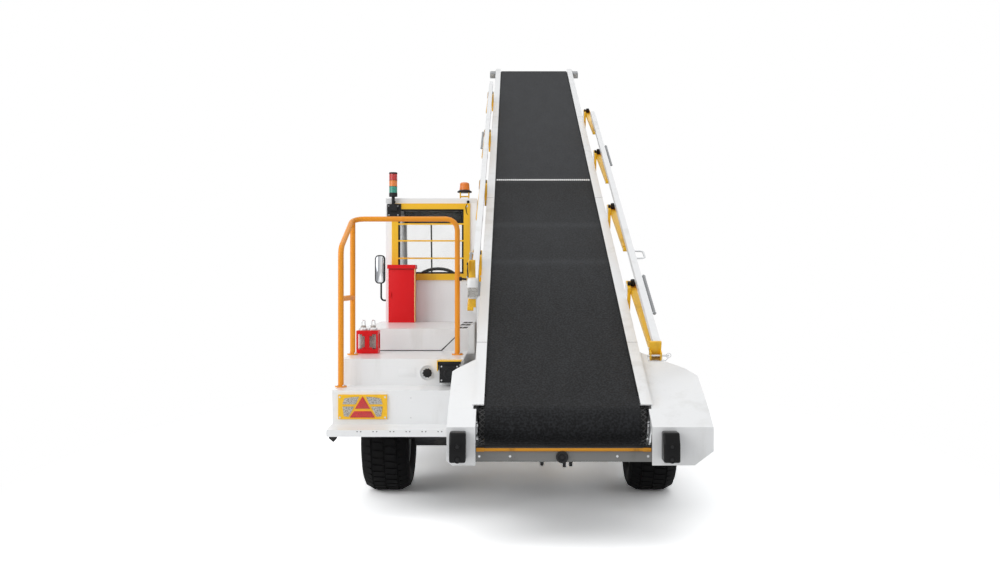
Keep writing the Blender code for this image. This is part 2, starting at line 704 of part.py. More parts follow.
def build_cab():
    """The cab's panels, its glass, and what stands in it."""
    under_roof = CAB_ROOF_Z - CAB_ROOF_THICK - TOUCH
    across = (CAB_LEFT_X, CAB_RIGHT_X)
    inside = (CAB_LEFT_X + CAB_WALL, CAB_RIGHT_X - CAB_WALL)
    behind = CAB_REAR_Y + CAB_WALL
    floor_low = RAIL_TOP + TOUCH
    node(
        "cab_floor", "dark steel", None,
        [box(across, (behind + TOUCH, CAB_FLOOR_FRONT_Y - TOUCH), (floor_low, CAB_FLOOR_Z))],
    )
    window = (WINDOW_LEFT_X, WINDOW_RIGHT_X)
    height = (WINDOW_BOTTOM_Z, WINDOW_TOP_Z)
    wall_y = (CAB_REAR_Y, behind)
    node(
        "cab_rear_wall", "white paint", None,
        [box(across, wall_y, (floor_low, under_roof))],
        [box(window, (CAB_REAR_Y - 0.1, behind + 0.1), height)],
    )
    low = CAB_FLOOR_Z + TOUCH
    side_profile = [  # y, z
        (behind + TOUCH, low),
        (behind + TOUCH, under_roof),
        (SCREEN_TOP_Y, under_roof),
        (SCREEN_BASE_Y, SCREEN_BASE_Z),
        (CAB_FLOOR_FRONT_Y - TOUCH, SCREEN_BASE_Z),
        (CAB_FLOOR_FRONT_Y - TOUCH, low),
    ]
    side_window = [(behind + 0.08, 1.22), (behind + 0.08, 1.88), (0.13, 1.88), (0.22, 1.30),
                   (0.22, 1.22)]
    node(
        "cab_right_side", "white paint", None,
        [prism(side_profile, "X", inside[1], CAB_RIGHT_X)],
        [prism(side_window, "X", inside[1] - 0.1, CAB_RIGHT_X + 0.1)],
    )
    front_profile = [  # y, z
        (SCREEN_BASE_Y - 0.045, SCREEN_BASE_Z),
        (SCREEN_TOP_Y - 0.045, under_roof),
        (SCREEN_TOP_Y, under_roof),
        (SCREEN_BASE_Y, SCREEN_BASE_Z),
    ]
    wide = (CAB_LEFT_X, inside[1] - TOUCH)
    screen = (wide[0] + 0.06, wide[1] - 0.05)
    pillar_y = CAB_FLOOR_FRONT_Y - FIREWALL
    firewall = box(wide, (pillar_y, CAB_FLOOR_FRONT_Y - TOUCH), (low, SCREEN_BASE_Z))
    shelf = box(wide, (pillar_y, SCREEN_BASE_Y), (SCREEN_BASE_Z, SCREEN_BASE_Z + 0.03))
    pillar = [  # y, z
        (pillar_y, SCREEN_BASE_Z + 0.01),
        (pillar_y, under_roof),
        (SCREEN_TOP_Y - 0.02, under_roof),
        (SCREEN_BASE_Y - 0.02, SCREEN_BASE_Z + 0.01),
    ]
    opening = box(screen, (0.0, 0.6), (SCREEN_BASE_Z + 0.08, 1.875))
    node(
        "cab_front", "white paint", None,
        [
            prism(front_profile, "X", *wide), firewall, shelf,
            prism(pillar, "X", CAB_LEFT_X, CAB_LEFT_X + CAB_WALL), *knuckles(1),
        ],
        [opening],
    )
    slope = (SCREEN_TOP_Y - SCREEN_BASE_Y) / (under_roof - SCREEN_BASE_Z)
    pane = []
    for z, back in ((SCREEN_BASE_Z + 0.08, 0), (1.875, 0), (1.875, 1), (SCREEN_BASE_Z + 0.08, 1)):
        y = SCREEN_BASE_Y - 0.020 + slope * (z - SCREEN_BASE_Z) + back * GLASS
        shrink = TOUCH if z < 1.8 else -TOUCH
        pane.append((y, z + shrink))
    node(
        "windscreen", "glass", None,
        [prism(pane, "X", screen[0] + TOUCH, screen[1] - TOUCH)],
    )
    middle = (CAB_RIGHT_X + inside[1]) / 2
    pane = [(behind + 0.08 + TOUCH, 1.22 + TOUCH), (behind + 0.08 + TOUCH, 1.88 - TOUCH),
            (0.13 - TOUCH, 1.88 - TOUCH), (0.22 - TOUCH, 1.30), (0.22 - TOUCH, 1.22 + TOUCH)]
    node("right_window", "glass", None, [prism(pane, "X", *span(middle, GLASS / 2))])
    fitted_x = (window[0] + TOUCH, window[1] - TOUCH)
    fitted_z = (height[0] + TOUCH, height[1] - TOUCH)
    middle = (wall_y[0] + wall_y[1]) / 2
    node("rear_window", "glass", None, [box(fitted_x, span(middle, GLASS / 2), fitted_z)])
    node(
        "cab_roof", "white paint", None,
        [box(
            (CAB_LEFT_X, CAB_RIGHT_X), (CAB_REAR_Y, SCREEN_TOP_Y + 0.05),
            (CAB_ROOF_Z - CAB_ROOF_THICK, CAB_ROOF_Z),
        )],
    )
    build_window_guard(window, height)
    build_door(low, under_roof, behind)
    seat_y = -0.42
    node(
        "seat", "black plastic", None,
        [
            box((-0.83, -0.39), span(seat_y, 0.22), (0.93, 1.05)),
            box((-0.80, -0.42), (seat_y - 0.30, seat_y - 0.20), (0.96, 1.37)),
            box((-0.75, -0.47), span(seat_y, 0.16), (CAB_FLOOR_Z + TOUCH, 0.95)),
        ],
    )
    wheel_centre = Vector((-0.62, -0.03, 1.36))
    lean = math.radians(35)
    axis = Vector((0, -math.sin(lean), math.cos(lean)))

    def on_wheel(u, v, along):
        across_wheel = Vector((1, 0, 0))
        up = axis.cross(across_wheel)
        return wheel_centre + across_wheel * u + up * v + axis * along

    ring = []
    for index in range(8):
        angle = 2 * math.pi * index / 8
        ring.append((0.014 * math.cos(angle), 0.17 + 0.014 * math.sin(angle)))
    foot = wheel_centre - axis * 0.19
    dash_y = (-0.02, CAB_FLOOR_FRONT_Y - FIREWALL - TOUCH)
    node(
        "dashboard", "black plastic", None,
        [
            box((wide[0] + 0.06, wide[1] - 0.02), dash_y, (1.0, 1.26)),
            turned(ring, (0, 0), "Z", 24, on_wheel),
            tube([wheel_centre + axis * 0.01, foot], 0.025),
            disc((0, 0), "Z", 0.04, -0.02, 0.02, 16, on_wheel),
            prism([(-0.17, -0.012), (0.17, -0.012), (0.17, 0.012), (-0.17, 0.012)], "Z",
                  -0.008, 0.008, on_wheel),
        ],
    )


def build_window_guard(window, height):
    """The yellow frame round the rear window, with its three bars."""
    y = (CAB_REAR_Y - 0.012, CAB_REAR_Y - TOUCH)
    outer = box(
        (window[0] - WINDOW_FRAME, window[1] + WINDOW_FRAME), y,
        (height[0] - WINDOW_FRAME, height[1] + WINDOW_FRAME - 0.005),
    )
    hole = box(window, (y[0] - 0.1, y[1] + 0.1), height)
    bars = []
    for share in (0.24, 0.51, 0.77):
        z = height[0] + share * (height[1] - height[0])
        bars.append(box((window[0] - 0.01, window[1] + 0.01), (y[0] + 0.001, y[1] - 0.001), span(z, 0.006)))
    node("rear_window_frame", "yellow paint", None, [outer], [hole], bars)


def door_axis():
    """x and y of the door's hinge pins, outside the gap between the door and its pillar."""
    return (CAB_LEFT_X - DOOR_HINGE_OUT, CAB_FLOOR_FRONT_Y - FIREWALL - DOOR_GAP / 2)


def knuckles(side):
    """Hinge knuckles on the door (-1) or, just above them, on the pillar (1)."""
    centre = door_axis()
    shapes = []
    for level in DOOR_KNUCKLES_Z:
        z = sorted((level + side * TOUCH / 2, level + side * 0.03))
        leaf_y = sorted((centre[1], centre[1] + side * 0.03))
        shapes.append(disc(centre, "Z", DOOR_KNUCKLE_RADIUS, *z, 16))
        shapes.append(box((centre[0], CAB_LEFT_X + 0.002), leaf_y, z))
    return shapes


def build_door(low, under_roof, behind):
    """The cab's left door with its glass, hinged at its front edge."""
    front = CAB_FLOOR_FRONT_Y - FIREWALL - DOOR_GAP
    hinge = joint("door_hinge", (*door_axis(), 1.3))
    x = (CAB_LEFT_X, CAB_LEFT_X + CAB_WALL)
    top = under_roof - 0.004
    profile = box(x, (behind + 0.004, front), (low + 0.004, top))
    hole_y = (behind + 0.10, front - 0.09)
    hole_z = (1.16, 1.88)
    handle = box((x[0] - 0.014, x[0] + 0.01), (behind + 0.10, behind + 0.24), (1.00, 1.035))
    node(
        "cab_door", "white paint", hinge, [profile, handle, *knuckles(-1)],
        [box((x[0] - 0.1, x[1] + 0.1), hole_y, hole_z)],
    )
    middle = (x[0] + x[1]) / 2
    node(
        "door_window", "glass", hinge,
        [box(
            span(middle, GLASS / 2),
            (hole_y[0] + TOUCH, hole_y[1] - TOUCH),
            (hole_z[0] + TOUCH, hole_z[1] - TOUCH),
        )],
    )


def build_fittings():
    """Handrail, lamps, mirror, boxes and the engine's block."""
    near = (-0.982, -3.025)
    far = (-0.982, -2.545)
    right = (-0.318, -2.545)
    top_z = 1.743
    node(
        "handrail", "orange paint", None,
        [
            tube(
                [(*near, LOWER_STEP_Z + 0.004), (*near, 1.545), (*far, top_z), (*right, top_z),
                 (*right, UPPER_STEP_Z + 0.004)],
                HANDRAIL_RADIUS, 0.07,
            ),
            tube([(*far, UPPER_STEP_Z + 0.004), (*far, top_z - 0.01)], HANDRAIL_RADIUS),
            tube([(near[0], near[1], 1.245), (far[0], far[1], 1.245)], HANDRAIL_RADIUS),
            disc(near, "Z", 0.035, LOWER_STEP_Z + TOUCH, LOWER_STEP_Z + 0.008),
            disc(far, "Z", 0.035, UPPER_STEP_Z + TOUCH, UPPER_STEP_Z + 0.008),
            disc(right, "Z", 0.035, UPPER_STEP_Z + TOUCH, UPPER_STEP_Z + 0.008),
        ],
    )
    rear = CAB_REAR_Y - TOUCH
    case = (-0.925, -0.725)
    node(
        "extinguisher_box", "red paint", None,
        [
            box(case, (rear - 0.17, rear - 0.013), (DECK_Z + TOUCH, 1.46)),
            box((case[0] - 0.008, case[1] + 0.008), (rear - 0.185, rear - 0.013), (1.445, 1.475)),
        ],
    )
    tray_x = (LANTERN_X - 0.07, LANTERN_X + 0.07)
    tray_y = (LANTERN_Y - 0.06, LANTERN_Y + 0.06)
    wall_z = (UPPER_STEP_Z + 0.008, UPPER_STEP_Z + 0.148)
    lamp_z = (UPPER_STEP_Z + 0.010, UPPER_STEP_Z + 0.218)
    lanterns = [disc((LANTERN_X + shift, LANTERN_Y), "Z", 0.026, *lamp_z, 16) for shift in (-0.032, 0.032)]
    node(
        "lantern_holder", "red paint", None,
        [
            box(tray_x, tray_y, (UPPER_STEP_Z + TOUCH, UPPER_STEP_Z + 0.013)),
            box(tray_x, (tray_y[0], tray_y[0] + 0.010), wall_z),
            box((tray_x[0], tray_x[0] + 0.010), tray_y, wall_z),
            box((tray_x[1] - 0.010, tray_x[1]), tray_y, wall_z),
            box(tray_x, (tray_y[1] - 0.010, tray_y[1]), wall_z),
            *lanterns,
        ],
    )
    stack = (-0.903, rear - 0.035)
    node(
        "stack_light", "black plastic", None,
        [
            box(span(stack[0] + 0.005, 0.055), (rear - 0.02, rear - 0.0125), (1.85, 1.955)),
            box(span(stack[0], 0.03), (rear - 0.06, rear - 0.015), (1.90, 1.95)),
            disc(stack, "Z", 0.008, 1.92, 2.02, 12),
            disc(stack, "Z", 0.030, 2.01, 2.20, 20),
        ],
    )
    beacon = (-0.355, -0.66)
    node(
        "beacon", "amber lens", None,
        [
            box(span(beacon[0], 0.05), span(beacon[1], 0.05), (CAB_ROOF_Z + TOUCH, 2.006)),
            disc(beacon, "Z", 0.012, 2.0, 2.07, 12),
            disc(beacon, "Z", 0.060, 2.06, 2.08, 24),
            disc(beacon, "Z", 0.048, 2.075, 2.14, 24),
        ],
    )
    node(
        "left_mirror", "black plastic", None,
        [
            box((-1.174, -1.084), (0.10, 0.13), (1.327, 1.577)),
            tube([(-1.12, 0.115, 1.34), (-1.12, 0.115, 1.18), (-0.975, 0.20, 1.18)], 0.008, 0.03, 8),
            box((-0.985, CAB_LEFT_X - TOUCH), (0.18, 0.22), (1.155, 1.205)),
        ],
    )
    face = BODY_REAR_Y - TOUCH
    node(
        "tail_lamp", "yellow paint", None,
        [box((-0.965, -0.685), (face - 0.012, face), (0.56, 0.70))],
    )
    riser = LOWER_RISER_Y - TOUCH
    node(
        "socket_box", "black plastic", None,
        [
            box((-0.402, -0.285), (riser - 0.07, riser), (0.745, 0.865)),
            box((-0.410, -0.277), (riser - 0.085, riser), (0.855, 0.872)),
        ],
    )
    rail_face = CENTRE_X - RAIL_HALF_SPACING - RAIL_WIDTH / 2
    node(
        "engine_block", "dark steel", None,
        [
            box((-0.92, -0.45), (-1.70, -1.02), (0.56, 0.95)),
            box((-0.50, rail_face - TOUCH), (-1.60, -1.12), (0.56, 0.59)),
        ],
    )


def loop_outline(inset):
    """The belt's side view, drawn in by inset from its outer face: tail arc, then head arc."""
    tail = (TAIL_DRUM_S, BELT_TOP_N - BELT_THICK - TAIL_DRUM_RADIUS)
    head = (HEAD_DRUM_S, BELT_TOP_N - BELT_THICK - HEAD_DRUM_RADIUS)
    lean = 2 * math.atan2(head[1] - tail[1], head[0] - tail[0])
    points = []
    arcs = [  # centre, radius, first angle, last angle
        (tail, TAIL_DRUM_RADIUS + BELT_THICK - inset, math.pi / 2, 1.5 * math.pi + lean),
        (head, HEAD_DRUM_RADIUS + BELT_THICK - inset, lean - math.pi / 2, math.pi / 2),
    ]
    for centre, radius, first, last in arcs:
        for step in range(21):
            angle = first + (last - first) * step / 20
            points.append((
                centre[0] + radius * math.cos(angle), centre[1] + radius * math.sin(angle)
            ))
    return points


def build_belt_and_drums(hinge):
    """The belt's loop and the drums that it runs round."""
    low = CONVEYOR_X - BELT_WIDTH / 2
    high = CONVEYOR_X + BELT_WIDTH / 2
    outer = loop_outline(0)
    inner = loop_outline(BELT_THICK)
    rings = []
    for side, outline in ((low, outer), (high, outer), (high, inner), (low, inner)):
        rings.append([on_belt(side, s, n) for s, n in outline])
    node("belt", "belt", hinge, [skin(rings, closed=True)])
    web = FRAME_HALF_WIDTH - FRAME_SHEET - TOUCH
    drums = [  # name, s, radius
        ("tail_drum", TAIL_DRUM_S, TAIL_DRUM_RADIUS),
        ("head_drum", HEAD_DRUM_S, HEAD_DRUM_RADIUS),
    ]
    for name, s, radius in drums:
        centre = (s, BELT_TOP_N - BELT_THICK - radius)
        node(
            name, "rubber", hinge,
            [
                disc(centre, "X", radius - TOUCH, *span(CONVEYOR_X, DRUM_HALF_LENGTH), 40, on_belt),
                disc(centre, "X", 0.03, *span(CONVEYOR_X, web), 20, on_belt),
            ],
        )


def guard_corner(outer_x, side):
    """The wedge cut from a tail guard's lower outer edge, and the slanting sheet that closes it."""
    low = GUARD_BOTTOM_Z
    run = GUARD_CHAMFER["right" if side > 0 else "left"]
    high = low + 0.75 * run
    reach = (GUARD_REAR_Y - 0.01, GUARD_FRONT_Y + 0.05)
    wedge = [  # x, z
        (outer_x - side * (run + 0.02), low - 0.015),
        (outer_x + side * 0.0133, high + 0.010),
        (outer_x + side * 0.05, high - 0.01),
        (outer_x + side * 0.05, low - 0.06),
        (outer_x - side * run, low - 0.06),
    ]
    slant = [  # x, z
        (outer_x - side * (run + 0.004), low + 0.0005),
        (outer_x - side * (run - 0.001), low + 0.0005),
        (outer_x - side * 0.0005, high - 0.001),
        (outer_x - side * 0.0005, high + 0.004),
    ]
    return prism(wedge, "Y", *reach), prism(slant, "Y", GUARD_REAR_Y + 0.0005, GUARD_FRONT_Y)


def guard_front(name, side):
    """What is cut from a tail guard's front in plan, and the two upright sheets that close it."""
    face = CONVEYOR_X + side * FRAME_HALF_WIDTH
    corners = [(face + side * past, y) for past, y in GUARD_FRONT[name]]
    ahead = GUARD_SLOPE_Y[0] + 0.10
    beyond = corners[-1][0] + side * 0.05
    cut = [*corners, (beyond, corners[-1][1]), (beyond, ahead), (face, ahead)]
    sheets = []
    for (start_x, start_y), (end_x, end_y) in zip(corners, corners[1:]):
        start_x = start_x - side * 0.003
        end_x = end_x - side * 0.0005
        plan = [
            (start_x, start_y + 0.0006), (end_x, end_y + 0.0006),
            (end_x - side * 0.002, end_y - 0.005), (start_x, start_y - 0.005),
        ]
        low = [(x, y, guard_edges(y)[0] + 0.001) for x, y in plan]
        high = [(x, y, guard_edges(y)[1] - 0.001) for x, y in plan]
        sheets.append(skin([low, high]))
    return prism(cut, "Z", 0.30, 1.10), sheets


def guard_edges(y):
    """z of a tail guard's lower front edge and of its sloping top, at y."""
    low = [(GUARD_REAR_Y, GUARD_BOTTOM_Z), (GUARD_FRONT_Y, GUARD_BOTTOM_Z), (-3.30, 0.66),
           (GUARD_SLOPE_Y[0], GUARD_SLOPE_Z[0] - 0.02)]
    edge = low[-1][1]
    for (near_y, near_z), (far_y, far_z) in zip(low, low[1:]):
        if near_y <= y <= far_y:
            edge = near_z + (far_z - near_z) * (y - near_y) / (far_y - near_y)
            break
    slope = (GUARD_SLOPE_Z[0] - GUARD_SLOPE_Z[1]) / (GUARD_SLOPE_Y[0] - GUARD_SLOPE_Y[1])
    return edge, GUARD_SLOPE_Z[0] + slope * (y - GUARD_SLOPE_Y[0])


def build_side_frames(hinge):
    """The conveyor's two side channels, each with its guard at the tail and its lamp box at the head."""
    flange_bottom = FRAME_BOTTOM_N + FRAME_SHEET
    guard = [  # world y and z of the guard's side view at rest
        (GUARD_SLOPE_Y[0], GUARD_SLOPE_Z[0]),
        (GUARD_SLOPE_Y[1], GUARD_SLOPE_Z[1]),
        (GUARD_REAR_Y, 0.617),
        (GUARD_REAR_Y, GUARD_BOTTOM_Z),
        (GUARD_FRONT_Y, GUARD_BOTTOM_Z),
        (-3.30, 0.66),
    ]
    guard_inner = [
        (GUARD_SLOPE_Y[0] + 0.14, GUARD_SLOPE_Z[0] + 0.06),
        (-3.863, 0.690),
        (GUARD_REAR_Y + SHEET, 0.615),
        (GUARD_REAR_Y + SHEET, 0.36),
        (GUARD_FRONT_Y, 0.36),
        (-3.05, 0.60),
    ]
    outline = [off_belt(y, z) for y, z in guard]
    hollow = [off_belt(y, z) for y, z in guard_inner]
    hollow[0] = (hollow[0][0], outline[1][1] - SHEET)
    hollow[1] = (hollow[1][0], outline[1][1] - SHEET)
    for name, side in (("left", -1), ("right", 1)):
        reach = FRAME_HALF_WIDTH + GUARD_BEYOND[name]
        web = FRAME_HALF_WIDTH - FRAME_SHEET
        edge = FRAME_HALF_WIDTH - FRAME_FLANGE
        channel = [  # across from the middle, n
            (edge, FRAME_TOP_N),
            (FRAME_HALF_WIDTH, FRAME_TOP_N),
            (FRAME_HALF_WIDTH, FRAME_BOTTOM_N),
            (edge, FRAME_BOTTOM_N),
            (edge, flange_bottom),
            (web, flange_bottom),
            (web, FRAME_TOP_N - FRAME_SHEET),
            (edge, FRAME_TOP_N - FRAME_SHEET),
        ]
        rings = []
        for s in (FRAME_TAIL_S, FRAME_HEAD_S):
            rings.append([on_belt(CONVEYOR_X + side * across, s, n) for across, n in channel])
        inner_x = CONVEYOR_X + side * (FRAME_HALF_WIDTH - 0.0055)
        outer_x = CONVEYOR_X + side * reach
        guard_x = sorted((inner_x, outer_x))
        hollow_x = sorted((CONVEYOR_X + side * (FRAME_HALF_WIDTH - 0.065), outer_x - side * SHEET))
        rear_x = sorted((
            CONVEYOR_X + side * (FRAME_HALF_WIDTH - TAIL_BEAM_INSET),
            CONVEYOR_X + side * (FRAME_HALF_WIDTH + 0.035),
        ))
        rear_plate = [off_belt(y, z) for y, z in (
            (-3.868, 0.692), (GUARD_REAR_Y, 0.617), (GUARD_REAR_Y, GUARD_BOTTOM_Z),
            (GUARD_REAR_Y + 0.015, GUARD_BOTTOM_Z), (GUARD_REAR_Y + 0.025, 0.612), (-3.868, 0.672),
        )]
        lamp_x = sorted((
            CONVEYOR_X + side * (FRAME_HALF_WIDTH - 0.001), CONVEYOR_X + side * (FRAME_HALF_WIDTH + 0.065)
        ))
        adds = [
            skin(rings),
            prism(rear_plate, "X", *rear_x, on_belt),
            box(lamp_x, (HEAD_DRUM_S - 0.14, HEAD_DRUM_S - 0.02), (0.33, 0.38), on_belt),
        ]
        shroud = prism(outline, "X", *guard_x, on_belt)
        inside = prism(hollow, "X", *hollow_x, on_belt)
        corner, slant = guard_corner(outer_x, side)
        front, sheets = guard_front(name, side)
        adds.append(slant)
        adds.extend(sheets)
        adds.extend(arm_brackets(name, side))
        node("side_frame_" + name, "white paint", hinge, [shroud], [inside, corner, front], adds)
        block = span(CONVEYOR_X + side * (FRAME_HALF_WIDTH + 0.065), 0.041)
        node(
            "rubber_block_" + name, "rubber", hinge,
            [box(block, (GUARD_REAR_Y - 0.10, GUARD_REAR_Y - TOUCH), (0.44, 0.60))],
        )


def return_run_n(s):
    """n of the belt's lower face on its way back, at s."""
    tail_n = BELT_TOP_N - 2 * (BELT_THICK + TAIL_DRUM_RADIUS)
    head_n = BELT_TOP_N - 2 * (BELT_THICK + HEAD_DRUM_RADIUS)
    return tail_n + (head_n - tail_n) * (s - TAIL_DRUM_S) / (HEAD_DRUM_S - TAIL_DRUM_S)


def build_conveyor_structure(hinge):
    """The slider bed, and the underframe with the hinge lugs, the lift eyes and the return rollers."""
    web = FRAME_HALF_WIDTH - FRAME_SHEET - TOUCH
    across = span(CONVEYOR_X, web)
    bed_top = BELT_TOP_N - BELT_THICK - TOUCH
    bed_s = (TAIL_DRUM_S + TAIL_DRUM_RADIUS + 0.02, HEAD_DRUM_S - HEAD_DRUM_RADIUS - 0.02)
    adds = [box(across, bed_s, (bed_top - 0.004, bed_top), on_belt)]
    for index in range(7):
        s = bed_s[0] + 0.15 + index * 1.28
        adds.append(box(across, span(s, 0.03), (bed_top - 0.05, bed_top - 0.002), on_belt))
    node("slider_bed", "bright steel", hinge, adds)
    beam_top = FRAME_BOTTOM_N - TOUCH
    beam_n = (beam_top - BEAM_DEPTH, beam_top)
    middle = FRAME_HALF_WIDTH - BEAM_INSET
    adds = []
    for side in (-1, 1):
        x = span(CONVEYOR_X + side * middle, BEAM_WIDTH / 2)
        adds.append(box(x, (BEAM_TAIL_S, BEAM_HEAD_S), beam_n, on_belt))
    inside = span(CONVEYOR_X, middle)
    lift_bars = [LIFT_EYE_S - LIFT_LUG_REACH + 0.035, LIFT_EYE_S + LIFT_LUG_REACH - 0.035]
    for s in (0.35, 2.0, *lift_bars, 5.2, 6.9):
        adds.append(box(inside, span(s, 0.035), (beam_n[0] + 0.005, beam_n[0] + 0.055), on_belt))
    for s in (1.2, 2.8, 4.4, 6.0):
        roller_n = return_run_n(s) - 0.03 - TOUCH
        adds.append(disc((s, roller_n), "X", 0.03, *span(CONVEYOR_X, 0.38), 14, on_belt))
        adds.append(disc((s, roller_n), "X", 0.012, *inside, 8, on_belt))
        for side in (-1, 1):
            plate = span(CONVEYOR_X + side * (FRAME_HALF_WIDTH - FRAME_FLANGE - 0.008), 0.004)
            foot = span(CONVEYOR_X + side * (FRAME_HALF_WIDTH - FRAME_FLANGE - 0.002), 0.010)
            adds.append(box(plate, span(s, 0.025), (beam_n[0] + 0.01, roller_n + 0.02), on_belt))
            adds.append(box(foot, span(s, 0.025), (beam_n[0] + 0.01, beam_n[0] + 0.04), on_belt))
    cuts = []
    for side in (-1, 1):
        lug_x = span(CONVEYOR_X + side * middle, 0.020)
        adds.append(disc((0, 0), "X", HINGE_LUG_RADIUS, *lug_x, 16, on_belt))
        adds.append(box(lug_x, (-0.037, 0.041), (0.006, beam_n[0] + 0.03), on_belt))
        cuts.append(disc((0, 0), "X", HINGE_PIN_RADIUS + PIN_PLAY, *span(lug_x[0], 0.1), 16, on_belt))
        lug_face = CYLINDER_HALF_SPACING + LIFT_EYE_HALF + LIFT_LUG_GAP
        lug_ends = [CONVEYOR_X + side * lug_face, CONVEYOR_X + side * (lug_face + LIFT_LUG_THICK)]
        cap_ends = [lug_ends[0] + side * 0.002, lug_ends[1] + side * 0.006]
        lug = [  # s, n
            (LIFT_EYE_S - LIFT_LUG_REACH, beam_n[0] + 0.045),
            (LIFT_EYE_S + LIFT_LUG_REACH, beam_n[0] + 0.045),
            (LIFT_EYE_S + LIFT_LUG_REACH, beam_n[0] + 0.010),
            (LIFT_EYE_S + 0.034, LIFT_EYE_N - 0.020),
            (LIFT_EYE_S + 0.020, LIFT_EYE_N - 0.034),
            (LIFT_EYE_S - 0.020, LIFT_EYE_N - 0.034),
            (LIFT_EYE_S - 0.034, LIFT_EYE_N - 0.020),
            (LIFT_EYE_S - LIFT_LUG_REACH, beam_n[0] + 0.010),
        ]
        adds.append(prism(lug, "X", *sorted(lug_ends), on_belt))
        adds.append(disc((LIFT_EYE_S, LIFT_EYE_N), "X", 0.022, *sorted(cap_ends), 12, on_belt))
    node("underframe", "dark steel", hinge, adds, cuts)
    x = span(CONVEYOR_X, FRAME_HALF_WIDTH - TAIL_BEAM_INSET - TOUCH)
    node(
        "tail_beam", "white paint", hinge,
        [
            box(x, (-3.990, -3.930), (0.44, 0.500)),
            box(x, (-3.996, -3.925), (0.494, 0.512)),
        ],
    )


def build_lift():
    """The two lift cylinders: barrels on a shared trunnion, rods joined by a bar at their eyes.

    The linkage is open here: the rods carry the pin, which ends short of the underframe's lugs.
    """
    foot = Vector((CONVEYOR_X, CYLINDER_Y, CYLINDER_Z))
    eye = Vector(on_belt(CONVEYOR_X, LIFT_EYE_S, LIFT_EYE_N))
    along = (eye - foot).normalized()
    barrel_joint = joint("cylinder_foot", foot)
    rod_joint = joint("cylinder_rods_slide", eye, barrel_joint)
    barrels = [disc(
        (foot.y, foot.z), "X", HINGE_PIN_RADIUS,
        *span(CONVEYOR_X, CYLINDER_HALF_SPACING + BARREL_RADIUS + 0.022), 20
    )]
    bores = []
    rods = []
    for side in (-1, 1):
        shift = Vector((side * CYLINDER_HALF_SPACING, 0, 0))
        start = foot + shift - along * 0.04
        end = foot + shift + along * BARREL_LENGTH
        barrels.append(tube([start, end], BARREL_RADIUS, count=24))
        bores.append(tube(
            [foot + shift + along * 0.06, end + along * 0.05], LIFT_ROD_RADIUS + PIN_PLAY, count=24
        ))
        rods.append(tube(
            [eye + shift - along * LIFT_ROD_LENGTH, eye + shift], LIFT_ROD_RADIUS, count=20
        ))
        boss = span(CONVEYOR_X + side * CYLINDER_HALF_SPACING, LIFT_EYE_HALF)
        rods.append(disc((eye.y, eye.z), "X", 0.034, *boss, 20))
    rods.append(disc(
        (eye.y, eye.z), "X", 0.024, *span(CONVEYOR_X, CYLINDER_HALF_SPACING), 20
    ))
    pin_half = CYLINDER_HALF_SPACING + LIFT_EYE_HALF + LIFT_LUG_GAP / 2
    rods.append(disc((eye.y, eye.z), "X", LIFT_PIN_RADIUS, *span(CONVEYOR_X, pin_half), 20))
    node("lift_barrels", "yellow paint", barrel_joint, barrels, bores)
    node("lift_rods", "bright steel", rod_joint, rods)


def build_guard_rails(hinge):
    """Two folding guard rails, each a parallelogram of four arms on the side frame."""
    for name, side in (("left", -1), ("right", 1)):
        arm_x = CONVEYOR_X + side * ARM_OFFSET_X
        pins = []
        lead = None
        for index, pivot in enumerate(arm_pivots(name), 1):
            pin = (
                pivot[0] - ARM_LENGTH * math.cos(ARM_FOLD),
                pivot[1] + ARM_LENGTH * math.sin(ARM_FOLD),
            )
            pins.append(pin)
            carrier = joint(f"arm_{name}_{index}_pivot", on_belt(arm_x, *pivot), hinge)
            lead = lead or carrier
            build_arm(f"arm_{name}_{index}", arm_x, pivot, pin, carrier)
        reach = (pins[0][0] - RAIL_TAIL, pins[-1][0] + RAIL_BEYOND[name])
        rail_joint = joint(f"guard_rail_{name}_pin", on_belt(arm_x, *pins[0]), lead)
        build_rail("guard_rail_" + name, arm_x, pins, reach, rail_joint)


def build_arm(name, arm_x, pivot, pin, carrier):
    """A guard rail arm: a bar with a boss at its foot and a fork at the rail."""
    lean = math.atan2(pin[1] - pivot[1], pin[0] - pivot[0])
    half = ARM_DEPTH / 2

    def along_arm(x, run, lift):
        s = pivot[0] + run * math.cos(lean) - lift * math.sin(lean)
        n = pivot[1] + run * math.sin(lean) + lift * math.cos(lean)
        return on_belt(x, s, n)

    x = span(arm_x, ARM_WIDTH / 2)
    node(
        name, "yellow paint", carrier,
        [
            box(x, (0, ARM_LENGTH - 0.01), (-half, half * 0.6), along_arm),
            disc((0, 0), "X", half, *x, 24, along_arm),
            disc((ARM_LENGTH, 0), "X", RAIL_BOSS_RADIUS, *x, 20, along_arm),
        ],
        [
            disc((0, 0), "X", ARM_PIN_RADIUS + PIN_PLAY, *span(arm_x, 0.1), 16, along_arm),
            disc((ARM_LENGTH, 0), "X", RAIL_PIN_RADIUS + PIN_PLAY, *span(arm_x, 0.1), 16, along_arm),
        ],
    )


def arm_pivots(name):
    """(s, n) of the pivots of one side's guard rail arms."""
    first, pitch = ARM_ROWS[name]
    return [(first + index * pitch, ARM_PIVOT_N) for index in range(ARM_COUNT)]


def arm_brackets(name, side):
    """The brackets on a side frame, each with the pin that an arm turns on."""
    face = CONVEYOR_X + side * (FRAME_HALF_WIDTH - 0.001)
    plate = sorted((face, CONVEYOR_X + side * (ARM_OFFSET_X - ARM_WIDTH / 2 - 0.003)))
    pin = sorted((face, CONVEYOR_X + side * (ARM_OFFSET_X + ARM_WIDTH / 2 + 0.004)))
    shapes = []
    for s, n in arm_pivots(name):
        shapes.append(box(plate, (s - 0.05, s + 0.07), (n - 0.14, n + 0.04), on_belt))
        shapes.append(disc((s, n), "X", ARM_PIN_RADIUS, *pin, 16, on_belt))
    return shapes


